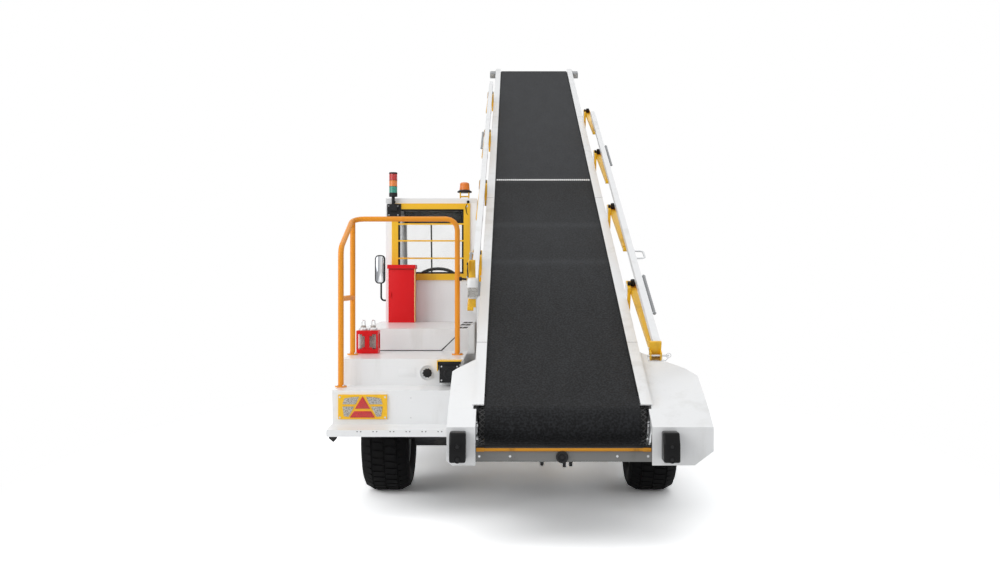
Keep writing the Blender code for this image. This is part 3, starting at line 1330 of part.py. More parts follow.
def build_rail(name, arm_x, pins, reach, rail_joint):
    """A square rail with one lug down beside each arm's end."""
    x = arm_x + RAIL_SHIFT_X
    low = pins[0][1] + RAIL_PIN_DROP - RAIL_TUBE / 2
    tube_x = span(x, RAIL_TUBE / 2)
    adds = [box(tube_x, reach, (low, low + RAIL_TUBE), on_belt)]
    lug_x = (arm_x + ARM_WIDTH / 2 + 0.001, x + RAIL_TUBE / 2)
    for s, n in pins:
        adds.append(box(lug_x, span(s, 0.02), (n - 0.014, low + 0.01), on_belt))
        pin_x = (arm_x - ARM_WIDTH / 2 - 0.004, lug_x[1] - 0.002)
        adds.append(disc((s, n), "X", RAIL_PIN_RADIUS, *pin_x, 16, on_belt))
    node(name, "white paint", rail_joint, adds)


def main():
    for item in list(bpy.data.objects):
        bpy.data.objects.remove(item)
    build_chassis()
    build_wheels()
    build_step_body()
    build_side_body()
    build_nose()
    build_cab()
    build_fittings()
    hinge = joint("conveyor_hinge", (CONVEYOR_X, HINGE_Y, HINGE_Z))
    build_belt_and_drums(hinge)
    build_side_frames(hinge)
    build_conveyor_structure(hinge)
    build_lift()
    build_guard_rails(hinge)


main()
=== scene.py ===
# %% [markdown]
# A baggage belt loader, dressed for a studio picture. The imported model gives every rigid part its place,
# and this lesson adds what a workshop would: paint, rubber, glass, treads, lacing, lamps and small fittings.
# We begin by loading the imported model. It stays fixed, and everything else is fitted to it.

import math

import bmesh
import bpy
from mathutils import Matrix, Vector


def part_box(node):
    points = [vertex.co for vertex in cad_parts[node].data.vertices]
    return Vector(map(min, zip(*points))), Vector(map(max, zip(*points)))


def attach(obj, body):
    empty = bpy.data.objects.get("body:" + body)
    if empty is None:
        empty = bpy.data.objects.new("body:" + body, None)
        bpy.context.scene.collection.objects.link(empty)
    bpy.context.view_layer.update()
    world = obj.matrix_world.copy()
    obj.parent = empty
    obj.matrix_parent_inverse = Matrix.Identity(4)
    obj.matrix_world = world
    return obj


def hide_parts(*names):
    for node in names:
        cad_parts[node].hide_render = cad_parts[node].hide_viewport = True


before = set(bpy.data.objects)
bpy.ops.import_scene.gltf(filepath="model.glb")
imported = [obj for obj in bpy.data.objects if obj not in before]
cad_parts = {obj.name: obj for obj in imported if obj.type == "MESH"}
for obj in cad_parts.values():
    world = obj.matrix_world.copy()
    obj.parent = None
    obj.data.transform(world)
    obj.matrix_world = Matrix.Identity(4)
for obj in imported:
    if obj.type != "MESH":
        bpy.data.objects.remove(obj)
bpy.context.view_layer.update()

# %% [markdown]
# The picture is taken from straight behind, at chest height. A level camera keeps the cab's posts upright,
# and the belt's edges then meet far above the horizon. The photograph's vanishing point lies a little
# right of its middle, which a small sideways lens shift gives without turning the camera.

# %% Camera
EYE = (0.035, -9.525, 1.35)
FOCAL_PIXELS = 1100
FRAME_PIXELS = 1000
SENSOR = 36.0
SHIFT_PIXELS = 13


def placed(name, data, where=(0, 0, 0)):
    """An object for the data, put into the scene."""
    made = bpy.data.objects.new(name, data)
    made.location = where
    bpy.context.scene.collection.objects.link(made)
    return made


camera_data = bpy.data.cameras.new("studio_camera")
camera_data.sensor_width = SENSOR
camera_data.lens = SENSOR * FOCAL_PIXELS / FRAME_PIXELS
camera_data.shift_x = -SHIFT_PIXELS / FRAME_PIXELS
camera_data.clip_end = 200
camera = placed("studio_camera", camera_data, EYE)
camera.rotation_euler = (math.radians(90), 0, 0)
bpy.context.scene.camera = camera
print("lens", round(camera_data.lens, 2), "mm")

# %% [markdown]
# Shader maths reads best as Python. A Wire is one node output, and the usual operators add Math nodes to it,
# from either side, so that 1 - mask works too.
# A Board is one material, or the world: its add method makes any node from its settings and the values of
# its sockets.

# %% Wires and boards


class Wire:
    """One output in a material, which Python's operators work on."""

    def __init__(self, board, socket):
        self.board = board
        self.socket = socket

    def maths(self, operation, *values):
        return self.board.add("ShaderNodeMath", {"operation": operation}, dict(enumerate(values)))

    def __add__(self, other):
        return self.maths("ADD", self, other)

    def __sub__(self, other):
        return self.maths("SUBTRACT", self, other)

    def __mul__(self, other):
        return self.maths("MULTIPLY", self, other)

    def __truediv__(self, other):
        return self.maths("DIVIDE", self, other)

    def __rsub__(self, other):
        return self.maths("SUBTRACT", other, self)

    def __rtruediv__(self, other):
        return self.maths("DIVIDE", other, self)

    __radd__ = __add__
    __rmul__ = __mul__

    def out(self, name):
        """Another output of the same node."""
        return Wire(self.board, self.socket.node.outputs[name])


class Board:
    """A material, or the world, and its nodes."""

    def __init__(self, name, world=False):
        self.material = (bpy.data.worlds if world else bpy.data.materials).new(name)
        self.material.use_nodes = True
        self.tree = self.material.node_tree
        self.tree.nodes.clear()

    def add(self, kind, settings=None, sockets=None, output=0):
        node = self.tree.nodes.new(kind)
        for key, value in (settings or {}).items():
            if key == "stops":
                ramp = node.color_ramp
                while len(ramp.elements) < len(value):
                    ramp.elements.new(0.5)
                for element, (place, colour) in zip(ramp.elements, value):
                    element.position = place
                    element.color = (*colour, 1)
            else:
                setattr(node, key, value)
        for key, value in (sockets or {}).items():
            if isinstance(value, Wire):
                self.tree.links.new(value.socket, node.inputs[key])
            elif value is not None:
                if isinstance(value, tuple) and len(value) == 3 and node.inputs[key].type == "RGBA":
                    value = (*value, 1)
                node.inputs[key].default_value = value
        return Wire(self, node.outputs[output]) if node.outputs else None

    def place(self):
        """Object coordinates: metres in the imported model's frame for its own nodes."""
        return self.add("ShaderNodeTexCoord", output="Object")

    def stretched(self, scale):
        return self.add("ShaderNodeMapping", None, {"Vector": self.place(), "Scale": scale})

    def noise(self, scale, detail=2.0, where=None, rough=0.5):
        sockets = {"Vector": where or self.place(), "Scale": scale, "Detail": detail, "Roughness": rough}
        return self.add("ShaderNodeTexNoise", None, sockets)

    def between(self, value, low, high):
        """A soft step from 0 at low to 1 at high."""
        settings = {"interpolation_type": "SMOOTHSTEP"}
        return self.add("ShaderNodeMapRange", settings, {"Value": value, "From Min": low, "From Max": high})

    def mix(self, factor, first, second):
        sockets = {0: factor, 6: first, 7: second}
        return self.add("ShaderNodeMix", {"data_type": "RGBA"}, sockets, output=2)

    def bump(self, height, strength, distance):
        sockets = {"Height": height, "Strength": strength, "Distance": distance}
        return self.add("ShaderNodeBump", None, sockets)

    def done(self, **sockets):
        """The surface, closed with one Principled shader."""
        named = {key.replace("_", " ").title().replace("Ior", "IOR"): value for key, value in sockets.items()}
        surface = self.add("ShaderNodeBsdfPrincipled", None, named)
        self.add("ShaderNodeOutputMaterial", None, {"Surface": surface})
        print("finish", self.material.name)
        return self.material


# %% [markdown]
# Sprayed paint is never one flat colour. It has a faint cloudiness, a fine ripple like orange peel, and dust
# that dulls its gloss, so one recipe makes the white, yellow, orange and red coats with their own colours.

# %% Paint


def paint(name, colour, grime, roughness=0.32, dirt=0.35, coat=0.3, shine=0.5):
    """A sprayed coat: its colour, the colour of its grime, its gloss and how dirty it is."""
    board = Board(name)
    cloud = board.noise(2.3, 4.0)
    streaks = board.noise(1.0, 5.0, board.stretched((9.0, 9.0, 1.3)), 0.6)
    specks = board.between(board.noise(130.0, 2.0), 0.68, 0.74)
    worn = board.between(streaks * cloud, 0.27, 0.42) * dirt
    base = board.mix(worn, colour, grime)
    base = board.mix(specks * (0.35 * dirt), base, tuple(part * 0.35 for part in grime))
    peel = board.noise(420.0, 1.0)
    normal = board.bump(peel + cloud * 0.6, 0.035, 0.002)
    gloss = board.between(cloud, 0.3, 0.75) * 0.12 + roughness + worn * 0.25
    return board.done(
        base_color=base, roughness=gloss, normal=normal, coat_weight=coat, coat_roughness=0.12,
        specular_ior_level=shine,
    )


WHITE = paint("white_coat", (0.86, 0.865, 0.87), (0.60, 0.59, 0.56), 0.30, 0.30, 0.4)
# The cab's rear wall gets a paler white than the rest: painted light that makes up for the shade the conveyor
# throws on it.
CAB_WHITE_LIT = paint("painted_light_cab_white_coat", (0.95, 0.955, 0.96), (0.74, 0.73, 0.71), 0.30, 0.20, 0.4)
YELLOW = paint("yellow_coat", (0.92, 0.52, 0.012), (0.52, 0.28, 0.03), 0.38, 0.45, 0.2, 0.4)
ORANGE = paint("orange_coat", (0.83, 0.300, 0.012), (0.50, 0.19, 0.03), 0.35, 0.40, 0.1, 0.3)
RED = paint("red_coat", (0.72, 0.006, 0.010), (0.36, 0.01, 0.01), 0.38, 0.30, 0.1, 0.2)
# The tail beam's white coat, painted dark grey as the shade it lies in under the belt.
BEAM_SHADE_GREY = paint("painted_shade_grey_coat", (0.205, 0.205, 0.20), (0.13, 0.125, 0.11), 0.55, 0.60, 0.0, 0.3)
# The lip's yellow, painted a darker orange as the shade under the belt, with heavy grime over it.
LIP_SHADE_ORANGE = paint("shaded_grimy_lip_coat", (0.62, 0.26, 0.015), (0.20, 0.09, 0.02), 0.5, 0.9, 0.0, 0.3)

# %% [markdown]
# Steel comes in two finishes here: the dark chassis coat, dusty and matt, and bright zinc or stainless
# fittings with fine brush marks. Brush marks are noise that is stretched hard in one direction.

# %% Steel


def chassis_coat(name, colour, roughness):
    board = Board(name)
    dust = board.between(board.noise(5.0, 6.0), 0.42, 0.72)
    grain = board.noise(240.0, 2.0)
    base = board.mix(dust * 0.45, colour, (0.15, 0.14, 0.125))
    return board.done(
        base_color=base, roughness=roughness + dust * 0.2, metallic=0.25,
        normal=board.bump(grain, 0.12, 0.001),
    )


def bright_metal(name, colour, roughness, metallic=1.0):
    board = Board(name)
    brushed = board.noise(60.0, 3.0, board.stretched((1.0, 14.0, 14.0)))
    stains = board.between(board.noise(9.0, 4.0), 0.5, 0.8)
    base = board.mix(stains * 0.35, colour, tuple(part * 0.62 for part in colour))
    return board.done(
        base_color=base, roughness=brushed * 0.25 + roughness, metallic=metallic,
        normal=board.bump(brushed, 0.06, 0.001),
    )


CHASSIS = chassis_coat("chassis_coat", (0.035, 0.036, 0.04), 0.55)
ZINC = bright_metal("zinc_plate", (0.62, 0.63, 0.64), 0.25)
GREY_STEEL = bright_metal("grey_steel", (0.36, 0.37, 0.37), 0.38, 0.7)
CHROME = bright_metal("bright_rod", (0.78, 0.79, 0.80), 0.08)

# %% [markdown]
# Rubber and plastic are dark but never black holes: moulded plastic has a fine grain and a soft shine,
# rubber is duller and a little dusty. The tyre adds the grey bloom that wear leaves on its shoulders.

# %% Rubber and plastic


def moulded(name, colour, dusty, roughness, grain=380.0, depth=0.15, shine=0.5):
    board = Board(name)
    dust = board.between(board.noise(7.0, 5.0), 0.45, 0.75)
    pores = board.noise(grain, 2.0)
    base = board.mix(dust * 0.5, colour, dusty)
    return board.done(
        base_color=base, roughness=roughness + dust * 0.12, normal=board.bump(pores, depth, 0.0008),
        specular_ior_level=shine,
    )


BLACK_PLASTIC = moulded("black_plastic", (0.012, 0.012, 0.013), (0.028, 0.028, 0.029), 0.42, shine=0.22)
RUBBER = moulded("black_rubber", (0.007, 0.007, 0.0075), (0.022, 0.0215, 0.021), 0.62, 160.0, 0.3, 0.3)
TYRE = moulded("tyre_rubber", (0.0045, 0.0045, 0.005), (0.016, 0.0155, 0.015), 0.80, 210.0, 0.35, 0.15)
BUFFER_RUBBER = moulded(
    "buffer_rubber", (0.005, 0.005, 0.0055), (0.014, 0.014, 0.0135), 0.30, 120.0, 0.12, 0.15,
)
SEAT_VINYL = moulded("seat_vinyl", (0.03, 0.031, 0.034), (0.06, 0.06, 0.06), 0.6, 300.0, 0.4)
DARK_LINING = moulded("cab_lining", (0.10, 0.105, 0.11), (0.15, 0.15, 0.15), 0.7, 200.0, 0.2)

# %% [markdown]
# The belt's carrying face is a rough-top rubber: a close pattern of small diamonds that grips soft bags.
# Paler and darker bands cross the belt over scuffed streaks along it, and two narrow pale bands are painted
# highlights where rollers lift the belt.
# The diamonds come from two crossed waves, which follow the belt because we turn the coordinates first.

# %% Belt rubber
INCLINE = math.radians(22.4)
HINGE_Y = -3.05
HINGE_Z = 0.62
MID_X = 0.29
BELT_TOP = 0.38
WAVES_PER_METRE = 900  # in radians


def belt_finish():
    board = Board("rough_top_belt")
    split = board.add("ShaderNodeSeparateXYZ", None, {"Vector": board.place()})
    across = split.out("X")
    run = split.out("Y") * math.cos(INCLINE) + split.out("Z") * math.sin(INCLINE)
    run = run - (HINGE_Y * math.cos(INCLINE) + HINGE_Z * math.sin(INCLINE))
    along = board.add("ShaderNodeCombineXYZ", None, {"X": across, "Y": run, "Z": 0.0})
    waves = []
    for turn in (35, -35):
        angle = math.radians(turn)
        line = across * (math.cos(angle) * WAVES_PER_METRE) + run * (math.sin(angle) * WAVES_PER_METRE)
        waves.append(line.maths("SINE", line))
    diamonds = waves[0] * waves[1]
    # The narrow pale peaks at 0.246 and 0.335 are painted highlights where rollers lift the belt; the other
    # stops make it darker at the tail and just below the lacing, paler above it.
    pale_stretches_and_highlights = [  # share of the run from tail to head, how pale the belt is there
        (0.0, 0.30), (0.16, 0.36), (0.236, 0.52), (0.246, 0.86), (0.256, 0.50), (0.325, 0.56), (0.335, 0.90),
        (0.345, 0.52), (0.458, 0.26), (0.472, 0.74), (0.70, 0.80), (1.0, 0.72),
    ]
    stops = [(share, (pale,) * 3) for share, pale in pale_stretches_and_highlights]
    bands = board.add("ShaderNodeValToRGB", {"stops": stops}, {"Fac": (run + 0.75) / 8.5})
    bands = board.add("ShaderNodeRGBToBW", None, {"Color": bands})
    lengthwise = board.add("ShaderNodeMapping", None, {"Vector": along, "Scale": (3.0, 0.8, 1.0)})
    scuff = board.noise(3.0, 5.0, lengthwise)
    fine = board.noise(160.0, 3.0, along)
    crumbs = board.between(board.noise(95.0, 2.0), 0.36, 0.68)
    grey = bands * 0.74 + scuff * 0.26 + crumbs * 0.36 - 0.34
    base = board.mix(grey, (0.0035, 0.0035, 0.004), (0.046, 0.049, 0.054))
    height = diamonds * 0.5 + fine
    return board.done(
        base_color=base, roughness=fine * 0.1 + 0.70, normal=board.bump(height, 0.35, 0.0015),
        specular_ior_level=0.2,
    )


BELT = belt_finish()

# %% [markdown]
# Glass in a cab is thin and faintly green. A low alpha shows the cab's inside, and the gloss keeps the
# reflections. Coloured lenses are clear plastic with a strong tint, so they stay nearly solid.

# %% Glass and lenses


def window_glass():
    board = Board("cab_glass")
    smear = board.between(board.noise(4.0, 4.0), 0.4, 0.8)
    return board.done(
        base_color=board.mix(smear, (0.32, 0.36, 0.35), (0.48, 0.52, 0.51)),
        roughness=smear * 0.06 + 0.03, alpha=smear * 0.04 + 0.045,
    )


def lens(name, colour, deep, glow=0.0, facets=0.0):
    board = Board(name)
    ribs = board.add("ShaderNodeTexWave", {"bands_direction": "Z"}, {"Vector": board.place(), "Scale": 90.0})
    base = board.mix(board.between(ribs, 0.2, 0.9), deep, colour)
    cells = board.between(board.noise(230.0, 1.0), 0.46, 0.56)
    base = board.mix(cells * facets, base, tuple(part * 0.35 for part in deep))
    return board.done(
        base_color=base, roughness=ribs * 0.08 + 0.12, emission_color=base, emission_strength=glow,
        coat_weight=0.5, normal=board.bump(ribs, 0.2, 0.001),
    )


GLASS = window_glass()
AMBER = lens("amber_lens", (0.95, 0.30, 0.02), (0.55, 0.10, 0.01), 0.10)
RED_LENS = lens("red_lens", (0.78, 0.02, 0.015), (0.40, 0.005, 0.005), 0.06, 0.35)
GREEN_LENS = lens("green_lens", (0.03, 0.42, 0.30), (0.01, 0.20, 0.14), 0.05)
CLEAR_LENS = lens("clear_lens", (0.60, 0.62, 0.62), (0.34, 0.36, 0.37), 0.0)

# %% [markdown]
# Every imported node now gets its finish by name. The table lists the finishes, and whatever isn't named in
# it keeps the white coat, which covers most of this machine.

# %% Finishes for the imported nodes
FINISHES = {
    BEAM_SHADE_GREY: ["tail_beam"],
    CAB_WHITE_LIT: ["cab_rear_wall"],
    CHASSIS: ["chassis_frame", "rear_axle", "front_axle_beam", "knuckle_left", "knuckle_right",
              "engine_block", "underframe"],
    DARK_LINING: ["cab_floor"],
    YELLOW: ["rear_window_frame", "lift_barrels", "tail_lamp"],
    ORANGE: ["handrail"],
    RED: ["extinguisher_box", "lantern_holder"],
    BLACK_PLASTIC: ["dashboard", "stack_light", "left_mirror", "socket_box"],
    SEAT_VINYL: ["seat"],
    RUBBER: ["tail_drum", "head_drum", "rubber_block_left", "rubber_block_right"],
    BELT: ["belt"],
    GLASS: ["windscreen", "right_window", "rear_window", "door_window"],
    ZINC: ["slider_bed"],
    CHROME: ["lift_rods"],
    AMBER: ["beacon"],
    GREY_STEEL: ["rim_rear_left", "rim_rear_right", "rim_front_left", "rim_front_right"],
}
finish_of = {name: finish for finish, names in FINISHES.items() for name in names}
for name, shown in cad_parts.items():
    finish = finish_of.get(name, WHITE)
    if name.startswith("arm_"):
        finish = YELLOW
    if name.startswith("tyre_"):
        finish = TYRE
    shown.data.materials.clear()
    shown.data.materials.append(finish)
print(len(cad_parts), "packed nodes dressed")

# %% [markdown]
# Light and floor. A pale floor takes the soft shadow close to the machine and turns to plain white paper
# further out, so no horizon shows. The camera, metal and glass see a white background, while everything
# else gets only a moderate light, so that white paint keeps its shading.

# %% Studio
WORLD_LIGHT = 0.52
PAPER_FROM = 1.9  # the oval distance where the floor starts to turn to paper
PAPER_FULL = 3.4
FLOOR_REACH = 60


def paper_rays(board):
    """1 for a ray that sees the white background: the camera's, or one off metal or through glass."""
    ray = board.add("ShaderNodeLightPath")
    shiny = ray.maths("MAXIMUM", ray.out("Is Glossy Ray"), ray.out("Is Transmission Ray"))
    return ray.maths("MAXIMUM", ray, shiny)


def studio_world():
    board = Board("studio", world=True)
    bpy.context.scene.world = board.material
    lit = board.add("ShaderNodeBackground", None, {"Color": (0.97, 0.985, 1.0), "Strength": WORLD_LIGHT})
    seen = board.add("ShaderNodeBackground", None, {"Color": (1.0, 1.0, 1.0)})
    blend = board.add("ShaderNodeMixShader", None, {0: paper_rays(board), 1: lit, 2: seen})
    board.add("ShaderNodeOutputWorld", None, {"Surface": blend})


def area_light(name, place, target, size, power):
    data = bpy.data.lights.new(name, "AREA")
    data.shape = "RECTANGLE"
    data.size, data.size_y = size
    data.energy = power
    lamp = placed(name, data, place)
    lamp.rotation_euler = (Vector(target) - Vector(place)).to_track_quat("-Z", "Y").to_euler()
    print(name, power, "W")


bpy.context.scene.view_settings.view_transform = "Standard"
studio_world()
area_light("sky_panel", (0, -1, 11), (0, 0, 0), (14, 14), 380)
area_light("key_panel", (-6, -6.5, 4), (-0.5, -1, 1.2), (6, 5), 260)
area_light("fill_panel", (7, -9, 4), (0.3, -1, 1.2), (6, 5), 50)


def floor_finish():
    board = Board("studio_floor")
    shade = board.mix(board.noise(3.0, 3.0), (0.80, 0.80, 0.80), (0.84, 0.84, 0.84))
    diffuse = board.add("ShaderNodeBsdfDiffuse", None, {"Color": shade})
    bright = board.add("ShaderNodeBsdfDiffuse", None, {"Color": (1.8, 1.8, 1.8)})
    glow = board.add("ShaderNodeEmission", None, {"Color": (1.0, 1.0, 1.0), "Strength": 0.03})
    near = board.add("ShaderNodeAddShader", None, {0: bright, 1: glow})
    paper = board.add("ShaderNodeEmission", None, {"Color": (1.0, 1.0, 1.0), "Strength": 1.0})
    oval = board.add("ShaderNodeMapping", None, {
        "Vector": board.place(), "Location": (0.0, 0.5, 0.0), "Scale": (1.0, 0.55, 1.0),
    })
    away = board.add("ShaderNodeVectorMath", {"operation": "LENGTH"}, {0: oval}, output="Value")
    far = board.between(away, PAPER_FROM, PAPER_FULL)
    both = board.add("ShaderNodeMixShader", None, {0: far, 1: near, 2: paper})
    seen = board.add("ShaderNodeMixShader", None, {0: paper_rays(board), 1: diffuse, 2: both})
    board.add("ShaderNodeOutputMaterial", None, {"Surface": seen})
    return board.material


floor_mesh = bpy.data.meshes.new("studio_floor")
signs = [(-1, -1), (1, -1), (1, 1), (-1, 1)]
corners = [(east * FLOOR_REACH, north * FLOOR_REACH, 0) for east, north in signs]
floor_mesh.from_pydata(corners, [], [(0, 1, 2, 3)])
floor_mesh.materials.append(floor_finish())
floor = placed("studio_floor", floor_mesh)
print("studio ready")

# %% [markdown]
# Fittings are small solids that a maker would weld, bolt or snap on. One class gathers blocks, rods, turned
# rings, swept tubes and cut plates into a mesh, and turns the mesh into a piece that rides on its body.
# Edges are bevelled where they are made, because light catches every real edge.

# %% Helpers for solids
REAR = (0, -1, 0)
FRONT = (0, 1, 0)
RIGHT = (1, 0, 0)
UP = (0, 0, 1)


def spots(count, radius):
    """Places evenly round a circle, each as two offsets from its centre."""
    turns = [2 * math.pi * step / count for step in range(count)]
    return [(radius * math.cos(turn), radius * math.sin(turn)) for turn in turns]


def spread(middle, half):
    return (middle - half, middle + half)


def skin(rings, closed=False):
    """A solid of faces between rings of points, with its ends covered unless it is closed on itself."""
    solid = bmesh.new()
    rings = [[solid.verts.new(point) for point in ring] for ring in rings]
    pairs = list(zip(rings, rings[1:]))
    if closed:
        pairs.append((rings[-1], rings[0]))
    for near, far in pairs:
        for step in range(len(near)):
            after = (step + 1) % len(near)
            solid.faces.new((near[step], near[after], far[after], far[step]))
    if not closed:
        solid.faces.new(rings[0])
        solid.faces.new(rings[-1])
    return solid


def soften(solid, edge, steps, profile):
    """The solid with every edge rounded."""
    if edge:
        bmesh.ops.recalc_face_normals(solid, faces=solid.faces)
        bmesh.ops.bevel(
            solid, geom=solid.edges[:], offset=edge, segments=steps, profile=profile, affect="EDGES"
        )
    return solid


def rounded_path(points, bend, steps=6):
    """The path through points with each inner corner rounded to a radius."""
    points = [Vector(point) for point in points]
    path = [points[0]]
    for before, corner, after in zip(points, points[1:], points[2:]):
        into = (corner - before).normalized()
        out = (after - corner).normalized()
        turn = into.angle(out)
        if turn < 0.03:
            path.append(corner)
            continue
        start = corner - into * bend * math.tan(turn / 2)
        middle = start + (out - into * math.cos(turn)).normalized() * bend
        for step in range(steps + 1):
            angle = turn * step / steps
            path.append(middle + (start - middle) * math.cos(angle) + into * bend * math.sin(angle))
    path.append(points[-1])
    return path


def on_belt(x, s, n):
    """A place on the conveyor: x across, s up along the belt from the hinge, n square to the belt."""
    return Vector((
        x,
        HINGE_Y + s * math.cos(INCLINE) - n * math.sin(INCLINE),
        HINGE_Z + s * math.sin(INCLINE) + n * math.cos(INCLINE),
    ))


print("the belt's head is at", [round(value, 2) for value in on_belt(MID_X, 7.8, BELT_TOP)])

# %% A maker's kit of solids


class Kit:
    """Solids gathered into one mesh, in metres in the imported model's frame."""

    def __init__(self, place=None):
        self.mesh = bmesh.new()
        self.place = place or (lambda x, y, z: Vector((x, y, z)))

    def take(self, solid):
        """Adds a solid, moved to its place."""
        for corner in solid.verts:
            corner.co = self.place(*corner.co)
        bmesh.ops.recalc_face_normals(solid, faces=solid.faces)
        data = bpy.data.meshes.new("loose")
        solid.to_mesh(data)
        solid.free()
        self.mesh.from_mesh(data)
        bpy.data.meshes.remove(data)
        return self

    def block(self, x, y, z, edge=0.002, steps=2):
        """A block between two values on each axis, with rounded edges."""
        solid = bmesh.new()
        bmesh.ops.create_cube(solid, size=1)
        for corner in solid.verts:
            shares = zip((x, y, z), corner.co)
            corner.co = [sum(ends) / 2 + share * abs(ends[1] - ends[0]) for ends, share in shares]
        return self.take(soften(solid, edge, steps, 0.6))

    def plate(self, outline, start, thick, normal_axis="Y", edge=0.0, steps=2):
        """A flat plate: outline points across the normal axis, from start on that axis."""
        rings = [
            [{"X": (along, u, v), "Y": (u, along, v), "Z": (u, v, along)}[normal_axis] for u, v in outline]
            for along in (start, start + thick)
        ]
        return self.take(soften(skin(rings), edge, steps, 0.5))

    def lathe(self, profile, centre, axis, sides=32, closed=False):
        """Turns (along, radius) points about an axis through centre."""
        axis = Vector(axis).normalized()
        side = axis.orthogonal().normalized()
        over = axis.cross(side)
        rings = [
            [Vector(centre) + axis * along + side * u + over * v for u, v in spots(sides, radius)]
            for along, radius in profile
        ]
        return self.take(skin(rings, closed))

    def rod(self, start, end, radius, sides=24, edge=0.0015):
        """A round bar with a small chamfer at both ends."""
        run = Vector(end) - Vector(start)
        edge = min(edge, radius / 3, run.length / 3)
        profile = [
            (0, radius - edge), (edge, radius), (run.length - edge, radius), (run.length, radius - edge),
        ]
        return self.lathe(profile, start, run, sides)

    def tube(self, points, radius, sides=12, bend=0.0):
        """A bar swept along a path, its corners rounded."""
        path = rounded_path(points, bend) if bend else [Vector(point) for point in points]
        tangents = [
            (path[min(index + 1, len(path) - 1)] - path[max(index - 1, 0)]).normalized()
            for index in range(len(path))
        ]
        side = tangents[0].orthogonal().normalized()
        rings = []
        for point, tangent in zip(path, tangents):
            side = (side - tangent * side.dot(tangent)).normalized()
            over = tangent.cross(side)
            rings.append([point + side * u + over * v for u, v in spots(sides, radius)])
        return self.take(skin(rings))

    def drum_block(self, centre, ends):
        """A block on a drum that turns about X. Each of its ends has an offset, two radii and two angles."""
        solid = bmesh.new()
        corners = []
        for x, radii, turns in ends:
            for radius in radii:
                for turn in turns:
                    arm = Vector((x, radius * math.cos(turn), radius * math.sin(turn)))
                    corners.append(solid.verts.new(centre + arm))
        for face in ((0, 1, 3, 2), (4, 5, 7, 6), (0, 1, 5, 4), (2, 3, 7, 6), (0, 2, 6, 4), (1, 3, 7, 5)):
            solid.faces.new([corners[number] for number in face])
        return self.take(solid)

    def bolt(self, centre, normal, size=0.008, height=0.005):
        """A washer with a six-sided head on it."""
        normal = Vector(normal).normalized()
        washer = [(0, size * 1.25), (0.0012, size * 1.25)]
        self.lathe(washer, centre, normal, 20)
        head = [(0.0012, size * 0.98), (height, size * 0.98), (height + 0.001, size * 0.82)]
        return self.lathe(head, centre, normal, 6)

    def screws(self, across, y, up, size, height):
        """Bolts on a rear face, at every crossing of the places across and up."""
        for x in across:
            for z in up:
                self.bolt((x, y, z), REAR, size, height)
        return self

    def finish(self, name, body, finish, slot, smooth=38):
        data = bpy.data.meshes.new(name)
        self.mesh.to_mesh(data)
        self.mesh.free()
        data.materials.append(finish)
        data.shade_smooth()
        data.set_sharp_from_angle(angle=math.radians(smooth))
        made = placed(name, data)
        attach(made, body)
        print(name, "on", body, len(data.polygons), "faces")
        return made


print("kit ready")

# %% [markdown]
# A tyre is a carcass with blocks on it. Turning one profile gives the carcass with its grooves and the
# sidewall's raised ring. The blocks between the grooves repeat round the tyre, each one bent to its radius.

# %% Tyres
TREAD_DEPTH = 0.016
SHOULDER_DROP = 0.028
BLOCK_SHARE = 0.78  # of the pitch, and the rest is the groove
BEAD_RADIUS = 0.2


def tyre(name, body):
    low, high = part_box(name)
    centre = (low + high) / 2
    outer = (high.z - low.z) / 2
    half = (high.x - low.x) / 2
    half_carcass = [
        (0.52, outer - 0.010), (0.70, outer - 0.013), (0.86, outer - 0.026), (0.94, outer - 0.040),
        (0.985, 0.296), (1.0, 0.282), (0.985, 0.262), (0.94, 0.228), (0.80, BEAD_RADIUS),
    ]
    carcass = [(-share, radius) for share, radius in reversed(half_carcass)]
    carcass += [(0.0, outer - 0.009)] + half_carcass + [(0.0, BEAD_RADIUS + 0.02)]
    kit = Kit().lathe([(share * half, radius) for share, radius in carcass], centre, RIGHT, 96, closed=True)
    rows = [  # share of the half width from and to, and by what share of a block the row is turned
        (-0.91, -0.56, 0.5), (-0.48, -0.04, 0.0), (0.04, 0.48, 0.5), (0.56, 0.91, 0.0),
    ]
    blocks = 44
    pitch = 2 * math.pi / blocks
    for near, far, shift in rows:
        for index in range(blocks):
            start = (index + shift) * pitch
            ends = []
            for share, lean in ((near, 0.0), (far, 0.12)):
                top = outer - SHOULDER_DROP * max(0.0, (abs(share) - 0.50) / 0.41) ** 2
                turns = (start + lean * pitch, start + (BLOCK_SHARE + lean) * pitch)
                ends.append((share * half, (top - TREAD_DEPTH, top), turns))
            kit.drum_block(centre, ends)
    made = kit.finish(name.replace("tyre", "treaded_tyre"), body, TYRE, "tyre", 30)
    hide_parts(name)


for corner in ("rear_left", "rear_right", "front_left", "front_right"):
    tyre("tyre_" + corner, "wheel_" + corner)

# %% [markdown]
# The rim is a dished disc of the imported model. Its nuts and its hub cap are on the outer side, and they
# ride on the wheel's body, so they turn with it.

# %% Wheel nuts and hub caps


def wheel_nuts(corner, side):
    low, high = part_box("rim_" + corner)
    centre = (low + high) / 2
    face = centre.x + side * 0.062
    kit = Kit()
    for ahead, up in spots(6, 0.075):
        kit.bolt((face + side * 0.004, centre.y + ahead, centre.z + up), (side, 0, 0), 0.012, 0.014)
    hub = [(0.0, 0.046), (0.020, 0.045), (0.034, 0.036), (0.038, 0.0005)]
    kit.lathe(hub, (centre.x + side * 0.080, centre.y, centre.z), (side, 0, 0), 32)
    kit.finish("hub_nuts_" + corner, "wheel_" + corner, ZINC, "bright_steel")


for corner, side in (("rear_left", -1), ("rear_right", 1), ("front_left", -1), ("front_right", 1)):
    wheel_nuts(corner, side)

# %% [markdown]
# The belt is closed with a lacing: two rows of hooks on a pin, seen as a pale zigzag line across the belt.
# Many small hooks in one mesh give the saw-tooth edge that a painted stripe would lack.

# %% Belt lacing
LACING_S = 3.241
BELT_HALF = 0.40


